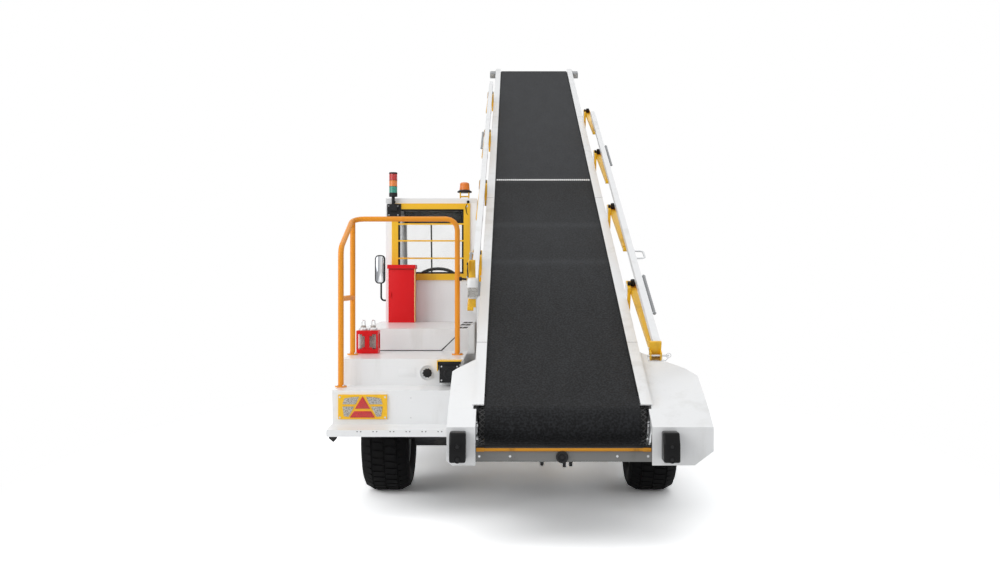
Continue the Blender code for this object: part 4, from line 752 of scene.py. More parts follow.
def belt_lacing():
    kit = Kit(on_belt)
    hooks = 46
    pitch = (2 * BELT_HALF - 0.01) / hooks
    for index in range(hooks):
        x = MID_X - BELT_HALF + 0.005 + (index + 0.5) * pitch
        kit.block(spread(x, pitch * 0.30), (LACING_S - 0.020, LACING_S + 0.020),
                  (BELT_TOP - 0.001, BELT_TOP + 0.0022), 0.0008, 1)
    kit.tube([(MID_X - BELT_HALF + 0.002, LACING_S, BELT_TOP + 0.001),
              (MID_X + BELT_HALF - 0.002, LACING_S, BELT_TOP + 0.001)], 0.0028, 8)
    kit.finish("belt_lacing", "conveyor", LACING, "bright_steel")


LACING = bright_metal("lacing_wire", (0.80, 0.80, 0.79), 0.35, 0.3)
belt_lacing()

# %% [markdown]
# The drums carry rubber lagging whose crossed ribs make diamonds, and it shows at the belt's two edges.
# Two sets of thin ribs, one leaning each way, give the pattern, because a rib that stands up by a few
# millimetres catches the light as the real lagging does.

# %% Drum lagging
TAIL_S = -0.70
TAIL_N = 0.265
HEAD_S = 7.74
HEAD_N = 0.305
RIB_ANGLE = 0.055


def drum_lagging(node, s, n, radius):
    kit = Kit()
    centre = on_belt(MID_X, s, n)
    core = radius - 0.006
    kit.lathe(
        [(-0.428, 0.03), (-0.428, core), (0.428, core), (0.428, 0.03)], centre, RIGHT, 64, closed=True
    )
    kit.lathe([(-0.455, 0.028), (0.455, 0.028)], centre, RIGHT, 24)
    made = kit.finish("lagged_" + node, "conveyor", RUBBER, "rubber", 30)
    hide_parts(node)
    pattern = Kit()
    ribs = 22
    for index in range(2 * ribs):
        start = 2 * math.pi * (index // 2) / ribs
        slant = (1, -1)[index % 2] * 0.31
        for side in (-1, 1):
            pattern.drum_block(centre, [
                (side * reach, (core - 0.003, radius - 0.0005), (start + lean, start + lean + RIB_ANGLE))
                for reach, lean in ((0.396, 0.0), (0.430, slant))
            ])
    pattern.finish("diamonds_" + node, "conveyor", LAGGING, "rubber", 30)


LAGGING = moulded("lagging_rubber", (0.030, 0.030, 0.031), (0.07, 0.07, 0.068), 0.5, 200.0, 0.2)
drum_lagging("tail_drum", TAIL_S, TAIL_N, 0.105)
drum_lagging("head_drum", HEAD_S, HEAD_N, 0.065)

# %% [markdown]
# The tail beam is a folded channel under an orange bar, and one large round bolt closes it. Its white coat is
# painted dark grey as the shade under the belt, and the bar is painted a darker, grimy orange for the same
# shade. Two rubber buffers take the first touch of a baggage cart, so they are thick, soft-edged and bolted
# through deep holes.

# %% Tail beam and buffers
BEAM_FACE_Y = -3.990


def tail_beam_trim():
    wiper = Kit().block((-0.152, 0.732), (-3.9985, -3.924), (0.5123, 0.5155), 0.001)
    wiper.finish("beam_wiper", "conveyor", RUBBER, "rubber")
    lip = Kit().rod((-0.150, -3.9945, 0.5020), (0.730, -3.9945, 0.5020), 0.0085, 20)
    for x in (-0.150, 0.690):
        lip.rod((x, -3.9945, 0.5020), (x + 0.040, -3.9945, 0.5020), 0.0102, 20)
    lip.finish("beam_lip", "conveyor", LIP_SHADE_ORANGE, "yellow_paint")
    bolt = Kit()
    cup = [(0, 0.031), (0.010, 0.031), (0.013, 0.028), (0.013, 0.019), (0.007, 0.017), (0.007, 0.0005)]
    bolt.lathe(cup, (0.282, BEAM_FACE_Y, 0.465), REAR, 40)
    bolt.bolt((0.282, BEAM_FACE_Y - 0.007, 0.465), REAR, 0.009, 0.007)
    for x, drop in ((0.181, 0.022), (0.294, 0.031), (0.327, 0.026)):
        bolt.rod((x, -3.965, 0.4395), (x, -3.965, 0.4395 - drop), 0.009)
        bolt.rod((x, -3.965, 0.4395), (x, -3.965, 0.4345), 0.014)
    bolt.finish("beam_bolt_and_stubs", "conveyor", BLACK_PLASTIC, "dark_steel")
    screws = Kit().screws((-0.135, 0.02, 0.56, 0.715), BEAM_FACE_Y, (0.468,), 0.005, 0.004)
    screws.finish("beam_screws", "conveyor", ZINC, "bright_steel")


def buffer(side_name):
    low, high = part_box("rubber_block_" + side_name)
    middle = (low + high) / 2
    foot = low.z + 0.012
    section = [
        (high.y, foot), (high.y, high.z), (low.y + 0.030, high.z), (low.y, high.z - 0.056), (low.y, foot),
    ]
    kit = Kit().plate(section, low.x, high.x - low.x, "X", 0.010, 4)
    heads = Kit()
    ring = [(0, 0.0175), (0.0022, 0.0165), (0.0022, 0.0115), (0.0004, 0.0105)]
    for z in (middle.z + 0.012, middle.z - 0.052):
        kit.lathe(ring, (middle.x, low.y, z), REAR, 28)
        heads.bolt((middle.x, low.y, z), REAR, 0.0075, 0.0012)
    made = kit.finish("buffer_" + side_name, "conveyor", BUFFER_RUBBER, "rubber")
    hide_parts("rubber_block_" + side_name)
    heads.finish("buffer_bolts_" + side_name, "conveyor", BLACK_PLASTIC, "dark_steel")


tail_beam_trim()
buffer("left")
buffer("right")

# %% [markdown]
# A take-up bearing carries each end of a drum's shaft: a housing on a flange, held by four bolts in a slide
# that tightens the belt. The zinc shows bright beside the dark lagging.

# %% Bearings


def bearing(name, side, s, n, half):
    inner = MID_X + side * 0.4335
    outer = MID_X + side * 0.4575
    housing = Kit(on_belt).block((inner, outer), spread(s, half), spread(n, half * 0.95), 0.006, 3)
    housing.block((outer - side * 0.010, outer), spread(s, half * 1.5), spread(n, half * 1.15), 0.003)
    for along in (-1.25, 1.25):
        for up in (0.7, -0.7):
            bolt_s, bolt_n = s + along * half, n + up * half
            housing.rod((outer - side * 0.012, bolt_s, bolt_n), (outer - side * 0.024, bolt_s, bolt_n), 0.009)
    housing.finish(name, "conveyor", ZINC, "bright_steel")


for name, side in (("left", -1), ("right", 1)):
    bearing("tail_bearing_" + name, side, TAIL_S, TAIL_N, 0.052)
    bearing("head_bearing_" + name, side, HEAD_S, HEAD_N, 0.036)

# %% [markdown]
# The rear lamp is one moulded unit on a yellow plate. Clear lenses sit in four corners, and a red triangle
# with a red bar below it warns from behind. Every lens is a thin plate with bevelled edges, so each catches
# its own highlight.

# %% Rear lamp, filler, blank plate and socket
LAMP_FACE_Y = -3.2373
RISER_Y = -2.915
FILLER_X = -0.479
FILLER_Z = 0.798


def lamp_point(across, down):
    """A place on the lamp plate, from shares of its width and height."""
    return (-0.965 + 0.28 * across, 0.70 - 0.14 * down)


def lamp_lens(kit, outline, thick=0.003):
    kit.plate([lamp_point(*point) for point in outline], LAMP_FACE_Y - thick, thick, "Y", 0.0009)


def rear_lamp():
    red = Kit()
    lamp_lens(red, [(0.500, 0.06), (0.655, 0.57), (0.345, 0.57)], 0.004)
    lamp_lens(red, [(0.325, 0.67), (0.675, 0.67), (0.755, 0.93), (0.240, 0.93)], 0.004)
    red.finish("rear_lamp_red", "chassis", RED_LENS, "red_paint")
    clear = Kit()
    left_cells = [
        [(0.130, 0.15), (0.280, 0.10), (0.430, 0.08), (0.360, 0.39), (0.090, 0.39)],
        [(0.090, 0.48), (0.330, 0.48), (0.215, 0.90), (0.120, 0.88)],
    ]
    for cell in left_cells:
        lamp_lens(clear, cell)
        lamp_lens(clear, [(1 - across, down) for across, down in reversed(cell)])
    clear.finish("rear_lamp_clear", "chassis", LAMP_GLASS, "glass")
    screws = Kit()
    for across in (0.035, 0.960):
        for down in (0.10, 0.93):
            x, z = lamp_point(across, down)
            screws.bolt((x, LAMP_FACE_Y, z), REAR, 0.0045, 0.003)
    for z in (0.680, 0.567):
        screws.bolt((-0.55, -3.225, z), REAR, 0.0028, 0.002)
    screws.finish("rear_lamp_screws", "chassis", ZINC, "bright_steel")


def filler_cap():
    kit = Kit()
    profile = [
        (0, 0.0265), (0.005, 0.0265), (0.008, 0.0240), (0.010, 0.0235), (0.0125, 0.0215), (0.0130, 0.0005),
    ]
    kit.lathe(profile, (FILLER_X, RISER_Y - 0.0122, FILLER_Z), REAR, 40)
    for across, up in spots(10, 0.0250):
        x, z = FILLER_X + across, FILLER_Z + up
        kit.rod((x, RISER_Y - 0.013, z), (x, RISER_Y - 0.019, z), 0.0042, 10)
    kit.finish("filler_cap", "chassis", BLACK_PLASTIC, "black_plastic")
    ring = Kit()
    ring.lathe([(0, 0.0500), (0.0016, 0.0495), (0.0016, 0.0452), (0, 0.0450)],
               (FILLER_X, RISER_Y, FILLER_Z), REAR, 56, closed=True)
    ring.lathe([(0.0, 0.0443), (0.0012, 0.0443)], (FILLER_X, RISER_Y + 0.0175, FILLER_Z), REAR, 40)
    ring.finish("filler_ring", "chassis", WHITE, "white_paint")


def blank_plate():
    kit = Kit().block((-0.652, -0.551), (RISER_Y - 0.0016, RISER_Y), (0.774, 0.827), 0.0007)
    kit.block((-0.642, -0.561), (RISER_Y - 0.0022, RISER_Y - 0.0014), (0.782, 0.819), 0.0004)
    for x in (-0.6465, -0.5565):
        for z in (0.7795, 0.8215):
            kit.rod((x, RISER_Y - 0.0012, z), (x, RISER_Y - 0.0030, z), 0.0024, 12, 0.0008)
    kit.finish("blank_plate", "chassis", WHITE, "white_paint")


def socket_fittings():
    hood = Kit().block((-0.416, -0.271), (RISER_Y - 0.094, RISER_Y - 0.0005), (0.8725, 0.8775), 0.0015)
    hood.block((-0.416, -0.4115), (RISER_Y - 0.094, RISER_Y - 0.0005), (0.815, 0.8775), 0.0015)
    hood.finish("socket_hood", "chassis", YELLOW, "yellow_paint")
    face = RISER_Y - 0.0703
    cover = Kit().block((-0.398, -0.289), (face - 0.006, face), (0.750, 0.851), 0.003, 3)
    cover.lathe([(0, 0.034), (0.012, 0.034), (0.015, 0.031), (0.015, 0.024), (0.009, 0.022), (0.009, 0.0005)],
                (-0.3435, face - 0.006, 0.800), REAR, 40)
    cover.finish("socket_cover", "chassis", BLACK_PLASTIC, "black_plastic")
    screws = Kit().screws((-0.390, -0.297), face - 0.006, (0.760, 0.842), 0.0038, 0.003)
    screws.finish("socket_screws", "chassis", ZINC, "bright_steel")


LAMP_GLASS = lens("lamp_glass", (0.72, 0.70, 0.66), (0.34, 0.32, 0.29), facets=0.75)
rear_lamp()
filler_cap()
blank_plate()
socket_fittings()

# %% [markdown]
# Sheet steel shows its joints as thin dark lines, as round the hatch over the engine. The bumper's punched
# slots and the slotted grip on the deck are thin dark plates, painted shade where the openings are. Handrail
# feet are bolted down, so each flange carries its bolts.

# %% Seams, slots and feet


def body_seams():
    dark = Kit()
    seam_y = -2.1507
    dark.block((-0.996, -0.447), (seam_y - 0.0012, seam_y + 0.0004), (0.8822, 0.8868), 0)
    slope = [(-0.447, 0.8822), (-0.4415, 0.8822), (-0.3455, 0.9760), (-0.3500, 0.9790), (-0.4500, 0.8850)]
    dark.plate(slope, seam_y - 0.0012, 0.0014, "Y")
    dark.block((-0.3505, -0.3460), (seam_y - 0.0012, seam_y + 0.0004), (0.976, 1.026), 0)
    # The bumper slots here and the deck slots below are thin dark plates: painted shade where the openings
    # are.
    for x in (-0.823, -0.734, -0.639, -0.550, -0.461, -0.372):
        for shift in (-0.010, 0.010):
            dark.block(spread(x + shift, 0.0032), (-3.4006, -3.3995), (0.5085, 0.5135), 0)
            dark.block(spread(x + shift, 0.0032), (-3.399, -3.391), (0.5188, 0.5202), 0)
    for y in (-2.11, -1.62, -1.19):
        for x in (-0.345, -0.308):
            slot = [(x, y), (x + 0.031, y + 0.030), (x + 0.031, y + 0.270), (x, y + 0.240)]
            dark.plate(slot, 1.0296, 0.0014, "Z")
    dark.finish("seams_and_shaded_slots", "chassis", SEAM_AND_SHADE, "dark_steel")
    tip = Kit()
    tip.plate([(-0.992, 0.4815), (-0.950, 0.4815), (-0.950, 0.470), (-0.966, 0.452), (-0.992, 0.474)],
              -3.3985, 0.04, "Y", 0.002)
    tip.finish("bumper_tip", "chassis", RUBBER, "rubber")


def rail_feet():
    kit = Kit()
    for x, y, z in ((-0.982, -3.025, 0.7315), (-0.982, -2.545, 0.8905), (-0.318, -2.545, 0.8905)):
        for turn in (0.6, 2.2, 3.8, 5.4):
            kit.bolt((x + 0.0265 * math.cos(turn), y + 0.0265 * math.sin(turn), z), UP, 0.0042, 0.004)
    kit.finish("rail_foot_bolts", "chassis", ZINC, "bright_steel")


# One dark material for the joints, which also serves as painted shade in the slots and under the box lid.
SEAM_AND_SHADE = moulded("dark_seam_and_shade", (0.03, 0.03, 0.032), (0.10, 0.09, 0.08), 0.8)
body_seams()
rail_feet()

# %% [markdown]
# Small lamps stand on the cab: a stack light with three coloured drums, and a turning beacon on a wire
# stand. A coloured drum reads as plastic only when dark rings part it, as in the real unit.

# %% Stack light and beacon


def stack_light():
    low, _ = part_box("stack_light")
    centre = (-0.903, -0.9103)
    bands = [
        ("red", RED_LENS, "red_paint", 2.138, 2.187), ("amber", AMBER, "amber_lens", 2.0905, 2.136),
        ("green", GREEN_LENS, "glass", 2.040, 2.0885),
    ]
    for name, finish, slot, bottom, top in bands:
        profile = [(0, 0.0302)]
        rib = (top - bottom) / 6
        for index in range(6):
            start = rib * index
            profile += [(start + 0.001, 0.0318), (start + rib - 0.001, 0.0318), (start + rib, 0.0310)]
        Kit().lathe(profile, (*centre, bottom), UP, 36).finish("stack_drum_" + name, "chassis", finish, slot)
    kit = Kit()
    for z in (2.137, 2.0895):
        kit.lathe([(0, 0.0322), (0.0022, 0.0322)], (*centre, z - 0.0011), UP, 36)
    kit.lathe([(0, 0.0305), (0.001, 0.0325), (0.010, 0.0325), (0.013, 0.030), (0.0145, 0.0005)],
              (*centre, 2.187), UP, 36)
    kit.lathe([(0, 0.0325), (0.028, 0.0325)], (*centre, 2.010), UP, 36)
    kit.rod((*centre, 1.945), (*centre, 2.012), 0.0125)
    kit.finish("stack_rings", "chassis", BLACK_PLASTIC, "black_plastic")
    screws = Kit().screws((-0.938, -0.868), low.y + 0.047, (1.938, 1.868), 0.0055, 0.004)
    screws.finish("stack_screws", "chassis", ZINC, "bright_steel")


def beacon():
    x, y = -0.355, -0.66
    stand = Kit()
    for side in (-1, 1):
        for ahead in (-1, 1):
            foot = (x + side * 0.034, y + ahead * 0.034, 2.001)
            stand.tube([foot, (foot[0], foot[1], 2.062)], 0.0042, 10)
        stand.tube([(x + side * 0.034, y - 0.034, 2.030), (x + side * 0.034, y + 0.034, 2.030)], 0.0035, 8)
        stand.tube([(x - 0.034, y + side * 0.034, 2.030), (x + 0.034, y + side * 0.034, 2.030)], 0.0035, 8)
        stand.block(spread(x + side * 0.034, 0.010), spread(y, 0.046), (2.0003, 2.0035), 0.001)
    stand.finish("beacon_stand", "chassis", YELLOW, "yellow_paint")
    brim = Kit()
    brim.lathe([(0, 0.050), (0.002, 0.057), (0.008, 0.059), (0.014, 0.056), (0.019, 0.045), (0.023, 0.042)],
               (x, y, 2.060), UP, 48)
    brim.finish("beacon_brim", "chassis", BLACK_PLASTIC, "black_plastic")
    dome = Kit()
    profile = [(0, 0.0415)]
    for rib in range(7):
        z = rib * 0.0072
        lean = 0.0415 - 0.0006 * rib
        profile += [(z + 0.0012, lean), (z + 0.0058, lean), (z + 0.0066, lean - 0.0014)]
    profile += [(0.054, 0.036), (0.0595, 0.030), (0.063, 0.020), (0.0645, 0.0005)]
    dome.lathe(profile, (x, y, 2.0825), UP, 48)
    made = dome.finish("beacon_dome", "chassis", AMBER, "amber_lens")
    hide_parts("beacon")


stack_light()
beacon()

# %% [markdown]
# The driver's seat shows through the glass: a vinyl cushion and backrest on a steel pedestal. Each pad is a
# crowned form whose sides pull in between its corners, with two sewn channels pressed into its face, and it
# is flat only where it rests. Its seam is piped with a thin cord of vinyl.

# %% Driver's seat


def pulled(u, v, trim):
    """A place on a pad's outline, whose sides pull in between the corners."""
    return u * (trim - 0.04 * (1 - v * v) * u * u), v * (trim - 0.04 * (1 - u * u) * v * v)


def pad(name, place, half_width, half_length, half_thick):
    """A cushion in its own frame: across, along and thick, its crowned face on the plus side."""
    solid = bmesh.new()
    bmesh.ops.create_cube(solid, size=2)
    bmesh.ops.subdivide_edges(solid, edges=solid.edges[:], cuts=15, use_grid_fill=True)
    for corner in solid.verts:
        u, v, w = corner.co
        crown = (1 - u ** 4) * (1 - v ** 4)
        if w > 0:
            channels = sum(math.exp(-((v - line) / 0.07) ** 2) for line in (-0.32, 0.32))
            rise = w * (0.40 + 0.60 * crown ** 0.6 - 0.20 * channels * (1 - u ** 4))
        else:
            rise = 0.9 * w * (0.75 + 0.25 * crown ** 0.3)
        belly = 0.97 + 0.03 * (1 - w * w)
        across, along = pulled(u, v, belly - 0.05 * (u * v) ** 8)
        corner.co = (across * half_width, along * half_length, rise * half_thick)
    made = Kit(place).take(solid).finish(name, "chassis", SEAT_VINYL, "black_plastic", 75)
    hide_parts("seat")


def pad_piping(kit, place, half_width, half_length):
    """The cord round a pad's seam."""
    ring = []
    for start, turn in (((-1, -1), (1, 0)), ((1, -1), (0, 1)), ((1, 1), (-1, 0)), ((-1, 1), (0, -1))):
        for step in range(1, 12):
            across, along = pulled(start[0] + turn[0] * step / 6, start[1] + turn[1] * step / 6, 1.0)
            ring.append(place(across * half_width, along * half_length, 0.0))
    kit.tube(ring + ring[:1], 0.0035, 6)


def driver_seat():
    low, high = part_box("seat")
    middle = (low.x + high.x) / 2

    def lying(across, along, thick):
        return Vector((middle + across, -0.415 + along, 0.990 + thick))

    def upright(across, along, thick):
        return Vector((middle + across, -0.665 + thick, 1.165 + along))

    piping = Kit()
    pads = [("seat_cushion", lying, 0.215, 0.205, 0.058), ("seat_backrest", upright, 0.185, 0.200, 0.046)]
    for name, place, half_width, half_length, half_thick in pads:
        pad(name, place, half_width, half_length, half_thick)
        pad_piping(piping, place, half_width, half_length)
    piping.finish("seat_piping", "chassis", SEAT_VINYL, "black_plastic")
    base = Kit().block((-0.75, -0.47), (-0.58, -0.26), (low.z, 0.926), 0.006)
    base.block((-0.79, -0.43), (-0.615, -0.225), (0.920, 0.9375), 0.004)
    base.block((-0.78, -0.44), (-0.7195, -0.7065), (0.975, 1.355), 0.005)
    for side in (-1, 1):
        base.block(spread(middle + side * 0.150, 0.012), (-0.7185, -0.585), (0.922, 0.9365), 0.003)
        base.block(spread(middle + side * 0.150, 0.012), (-0.7190, -0.7085), (0.922, 1.060), 0.003)
    made = base.finish("seat_frame", "chassis", CHASSIS, "dark_steel")
    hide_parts("seat")


driver_seat()

# %% [markdown]
# The cab's rear window sits in a rubber seal inside its yellow guard. Behind it hangs a dark sun visor, and
# a slim wiper stands on the windscreen. The mirror is a plate with round corners on a bent rod, and its
# glass faces the driver and the camera alike.

# %% Cab trim
REAR_WALL_Y = -0.875


def cab_trim():
    seal = Kit()
    west, east, low, high = -0.867, -0.353, 1.407, 1.914
    for x in ((west + 0.0004, west + 0.014), (east - 0.014, east - 0.0004)):
        seal.block(x, (REAR_WALL_Y - 0.006, REAR_WALL_Y + 0.012), (low + 0.0004, high - 0.0004), 0.003)
    for z in ((low + 0.0004, low + 0.014), (high - 0.014, high - 0.0004)):
        seal.block((west + 0.0004, east - 0.0004), (REAR_WALL_Y - 0.006, REAR_WALL_Y + 0.012), z, 0.003)
    for x in (-0.900, -0.318):
        seal.tube([(x, REAR_WALL_Y - 0.004, 1.975), (x - 0.018, REAR_WALL_Y - 0.014, 1.930),
                   (x - 0.010, REAR_WALL_Y - 0.010, 1.880), (x + 0.012, REAR_WALL_Y - 0.008, 1.860)],
                  0.0035, 8, 0.02)
        seal.lathe([(0, 0.011), (0.006, 0.011), (0.009, 0.008), (0.009, 0.0005)],
                   (x, REAR_WALL_Y, 1.972), REAR, 20)
    seal.finish("window_seal_and_glands", "chassis", RUBBER, "rubber")
    dark = Kit().block((-0.915, -0.300), (0.095, 0.103), (1.850, 1.958), 0.003)
    dark.tube([(-0.690, 0.322, 1.262), (-0.690, 0.232, 1.880)], 0.007, 10)
    dark.tube([(-0.690, 0.322, 1.262), (-0.560, 0.315, 1.275)], 0.005, 8)
    dark.finish("visor_and_wiper", "chassis", BLACK_PLASTIC, "black_plastic")
    screws = Kit().screws((-0.895, -0.325), REAR_WALL_Y - 0.012, (1.381, 1.937), 0.006, 0.004)
    screws.finish("guard_screws", "chassis", ZINC, "bright_steel")


def rounded_panel(x, z, radius):
    """The outline of an upright panel with round corners."""
    west, east = x[0] + radius, x[1] - radius
    low, high = z[0] + radius, z[1] - radius
    outline = []
    for across, up, start in ((east, low, -90), (east, high, 0), (west, high, 90), (west, low, 180)):
        turns = [math.radians(start + 15 * step) for step in range(7)]
        outline += [(across + radius * math.cos(turn), up + radius * math.sin(turn)) for turn in turns]
    return outline


def mirror():
    case = Kit().plate(rounded_panel((-1.174, -1.084), (1.327, 1.577), 0.034), 0.100, 0.030, "Y", 0.004)
    case.tube([(-1.12, 0.115, 1.34), (-1.12, 0.115, 1.18), (-0.975, 0.20, 1.18)], 0.008, 12, 0.03)
    case.block((-0.985, -0.9653), (0.18, 0.22), (1.155, 1.205), 0.003)
    made = case.finish("mirror_case", "chassis", BLACK_PLASTIC, "black_plastic")
    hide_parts("left_mirror")
    glass = Kit().plate(rounded_panel((-1.164, -1.094), (1.337, 1.567), 0.025), 0.0975, 0.0028, "Y", 0.0008)
    glass.finish("mirror_glass", "chassis", MIRROR, "bright_steel")


def mirror_silver():
    board = Board("mirror_silver")
    smear = board.between(board.noise(3.0, 2.0), 0.35, 0.75)
    across = board.add("ShaderNodeSeparateXYZ", None, {"Vector": board.place()})
    # The glass colour is a painted reflection: dark grey at its outer edge, bright on the side nearer the
    # cab.
    painted_reflection = board.between(across, -1.155, -1.105)
    return board.done(
        base_color=board.mix(painted_reflection, (0.30, 0.31, 0.33), (0.80, 0.81, 0.82)), metallic=1.0,
        roughness=smear * 0.04 + 0.04,
    )


MIRROR = mirror_silver()
cab_trim()
mirror()

# %% [markdown]
# The red box is a plain sheet case with a sloping lid, a hinge down one side and a latch. The lantern tray
# is a cut-out sheet frame, and its clear lanterns show through the windows with their wire handles above.

# %% Box trim and lanterns


def box_trim():
    low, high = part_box("extinguisher_box")
    hinge = Kit()
    hinge.block((high.x - 0.0075, high.x + 0.0008), (low.y + 0.0145, low.y + 0.0205), (1.035, 1.440), 0.0008)
    for step in range(9):
        z = 1.055 + step * 0.045
        knuckle = (high.x - 0.006, low.y + 0.0128)
        hinge.rod((*knuckle, z), (*knuckle, z + 0.036), 0.0032, 10)
    hinge.finish("box_hinge", "chassis", BRASS, "bright_steel")
    seam = Kit().block((low.x + 0.008, high.x - 0.008), (low.y + 0.0140, low.y + 0.0154), (1.4405, 1.4450), 0)
    seam.finish("box_lid_shadow", "chassis", SEAM_AND_SHADE, "dark_steel")
    door = Kit()
    door.block((low.x + 0.016, high.x - 0.020), (low.y + 0.0128, low.y + 0.0156), (1.045, 1.434), 0.0012)
    door.block((low.x + 0.018, low.x + 0.030), (low.y + 0.004, low.y + 0.013), (1.225, 1.262), 0.002)
    door.finish("box_door", "chassis", RED, "red_paint")


def lanterns():
    low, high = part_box("lantern_holder")
    foot = low.z
    tray = Kit().block((low.x, high.x), (low.y, high.y), (foot, foot + 0.028), 0.002)
    tray.block((low.x, high.x), (low.y, high.y), (foot + 0.125, foot + 0.148), 0.002)
    for x in ((low.x, low.x + 0.012), (high.x - 0.012, high.x)):
        for y in ((low.y, low.y + 0.008), (high.y - 0.008, high.y)):
            tray.block(x, y, (foot + 0.026, foot + 0.127), 0.001)
    middle = (low.x + high.x) / 2
    for y in ((low.y, low.y + 0.006), (high.y - 0.006, high.y)):
        tray.block(spread(middle, 0.015), y, (foot + 0.026, foot + 0.127), 0.001)
        for side in (-1, 1):
            for z in ((foot + 0.026, foot + 0.040), (foot + 0.113, foot + 0.127)):
                tray.block(spread(middle + side * 0.022, 0.010), y, z, 0.001)
    made = tray.finish("lantern_tray", "chassis", RED, "red_paint")
    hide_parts("lantern_holder")
    clear = Kit()
    wire = Kit()
    for side in (-1, 1):
        x = middle + side * 0.032
        y = (low.y + high.y) / 2
        jar = [(0, 0.022), (0.004, 0.0255), (0.110, 0.0255), (0.122, 0.020), (0.150, 0.017), (0.153, 0.0005)]
        clear.lathe(jar, (x, y, foot + 0.0285), UP, 28)
        for over, ahead in spots(6, 0.0262):
            wire.tube([(x + over, y + ahead, foot + 0.029), (x + over, y + ahead, foot + 0.150)], 0.0013, 6)
        wire.lathe([(0, 0.0275), (0.010, 0.0275), (0.016, 0.021)], (x, y, foot + 0.149), UP, 24)
        wire.tube([(x - 0.012, y, foot + 0.160), (x - 0.010, y, foot + 0.212), (x + 0.010, y, foot + 0.214),
                   (x + 0.012, y, foot + 0.160)], 0.0042, 8, 0.008)
    clear.finish("lantern_bodies", "chassis", LAMP_GLASS, "glass")
    wire.finish("lantern_cages", "chassis", ZINC, "bright_steel")


BRASS = bright_metal("brass_hinge", (0.72, 0.52, 0.24), 0.4)
box_trim()
lanterns()

# %% [markdown]
# The guard rails fold on yellow brackets. Each bracket is a bent plate with a second cheek outside the arm
# and a black rubber stop above it. The rails themselves carry two ribbed grips and end caps.

# %% Guard rail fittings
ARM_X = 0.5075
ARM_N = 0.426
RAIL_N = 0.5562
ROWS = {"left": (-1, 1.263, 1.6225), "right": (1, 0.716, 1.534)}


def arm_cheeks(name):
    side, first, pitch = ROWS[name]
    face = MID_X + side * 0.4655
    inner = MID_X + side * (ARM_X - 0.0205)
    outer = MID_X + side * (ARM_X + 0.0205)
    cheek = outer + side * 0.003
    stop_x = MID_X + side * ARM_X
    yellow = Kit(on_belt)
    stops = Kit(on_belt)
    pins = Kit(on_belt)
    for index in range(4):
        s = first + pitch * index
        lug = (ARM_N - 0.030, ARM_N + 0.041)
        foot = (ARM_N - 0.142, ARM_N - 0.055)
        yellow.block((face, inner), (s - 0.0515, s + 0.0715), (ARM_N - 0.1415, ARM_N + 0.0415), 0.0015)
        yellow.block((face, face + side * 0.004), (s - 0.075, s + 0.105), foot, 0.0015)
        yellow.block((outer, cheek), (s - 0.030, s + 0.070), lug, 0.0012)
        yellow.block((inner, cheek), (s + 0.064, s + 0.0715), lug, 0.0015)
        stops.rod((stop_x, s + 0.040, ARM_N + 0.020), (stop_x, s + 0.040, ARM_N + 0.060), 0.016, 20)
        stops.block(
            spread(stop_x - side * 0.030, 0.008), spread(s, 0.014), (ARM_N + 0.0415, ARM_N + 0.062), 0.003
        )
        pins.rod((cheek, s, ARM_N), (cheek + side * 0.0035, s, ARM_N), 0.013, 18)
        for shift in (-0.060, 0.090):
            pins.bolt((face + side * 0.004, s + shift, ARM_N - 0.098), (side, 0, 0), 0.007, 0.006)
    yellow.finish("arm_brackets_" + name, "conveyor", YELLOW, "yellow_paint")
    stops.finish("arm_stops_" + name, "conveyor", RUBBER, "rubber")
    pins.finish("arm_pin_heads_" + name, "conveyor", ZINC, "bright_steel")


def rail_fittings(name, tail, head):
    side = ROWS[name][0]
    body = "guard_rail_" + name
    x = MID_X + side * ARM_X + 0.015
    out = x + side * 0.020
    grips = Kit(on_belt)
    feet = Kit(on_belt)
    spans = ((0.070, 0.655), (3.080, 3.680)) if name == "right" else ((0.50, 1.05), (3.60, 4.15))
    for start, end in spans:
        line = out + side * 0.017
        count = int((end - start) / 0.03)
        for step in range(count):
            s = start + (end - start) * (step + 0.15) / count
            grips.rod((line, s, RAIL_N), (line, s + (end - start) / count * 0.7, RAIL_N), 0.0095, 12, 0.002)
        grips.rod((line, start, RAIL_N), (line, end, RAIL_N), 0.0078, 12)
        for s in (start + 0.012, end - 0.012):
            feet.rod((out, s, RAIL_N), (line + side * 0.006, s, RAIL_N), 0.006, 12)
            feet.bolt((line + side * 0.006, s, RAIL_N), (side, 0, 0), 0.006, 0.005)
    grips.finish("rail_grips_" + name, body, GREY_GRIP, "bright_steel")
    feet.finish("rail_grip_feet_" + name, body, ZINC, "bright_steel")
    caps = Kit(on_belt)
    for s in (tail - 0.004, head + 0.0005):
        caps.block(spread(x, 0.0195), (s, s + 0.0035), spread(RAIL_N, 0.0195), 0.001)
    caps.finish("rail_end_caps_" + name, body, GREY_GRIP, "bright_steel")


GREY_GRIP = moulded("grey_grip", (0.33, 0.34, 0.35), (0.45, 0.44, 0.42), 0.5)
arm_cheeks("left")
arm_cheeks("right")
rail_fittings("left", 0.2162, 6.2407)
rail_fittings("right", -0.3308, 4.8682)

# %% [markdown]
# Each rail also carries parts of its own. The right one has a bright handle and a latch at its low end, and
# the left one ends in a plate that carries a small lamp with a black knob.

# %% Handle, latch and lamp of the rails


def rail_handle():
    kit = Kit(on_belt)
    out = MID_X + ARM_X + 0.015 + 0.020
    kit.tube([(out, 1.085, RAIL_N), (out + 0.060, 1.085, RAIL_N), (out + 0.060, 0.955, RAIL_N),
              (out, 0.955, RAIL_N)], 0.0062, 12, 0.022)
    for s in (1.085, 0.955):
        kit.lathe([(0, 0.013), (0.004, 0.013)], (out, s, RAIL_N), RIGHT, 20)
    kit.finish("rail_handle", "guard_rail_right", ZINC, "bright_steel")


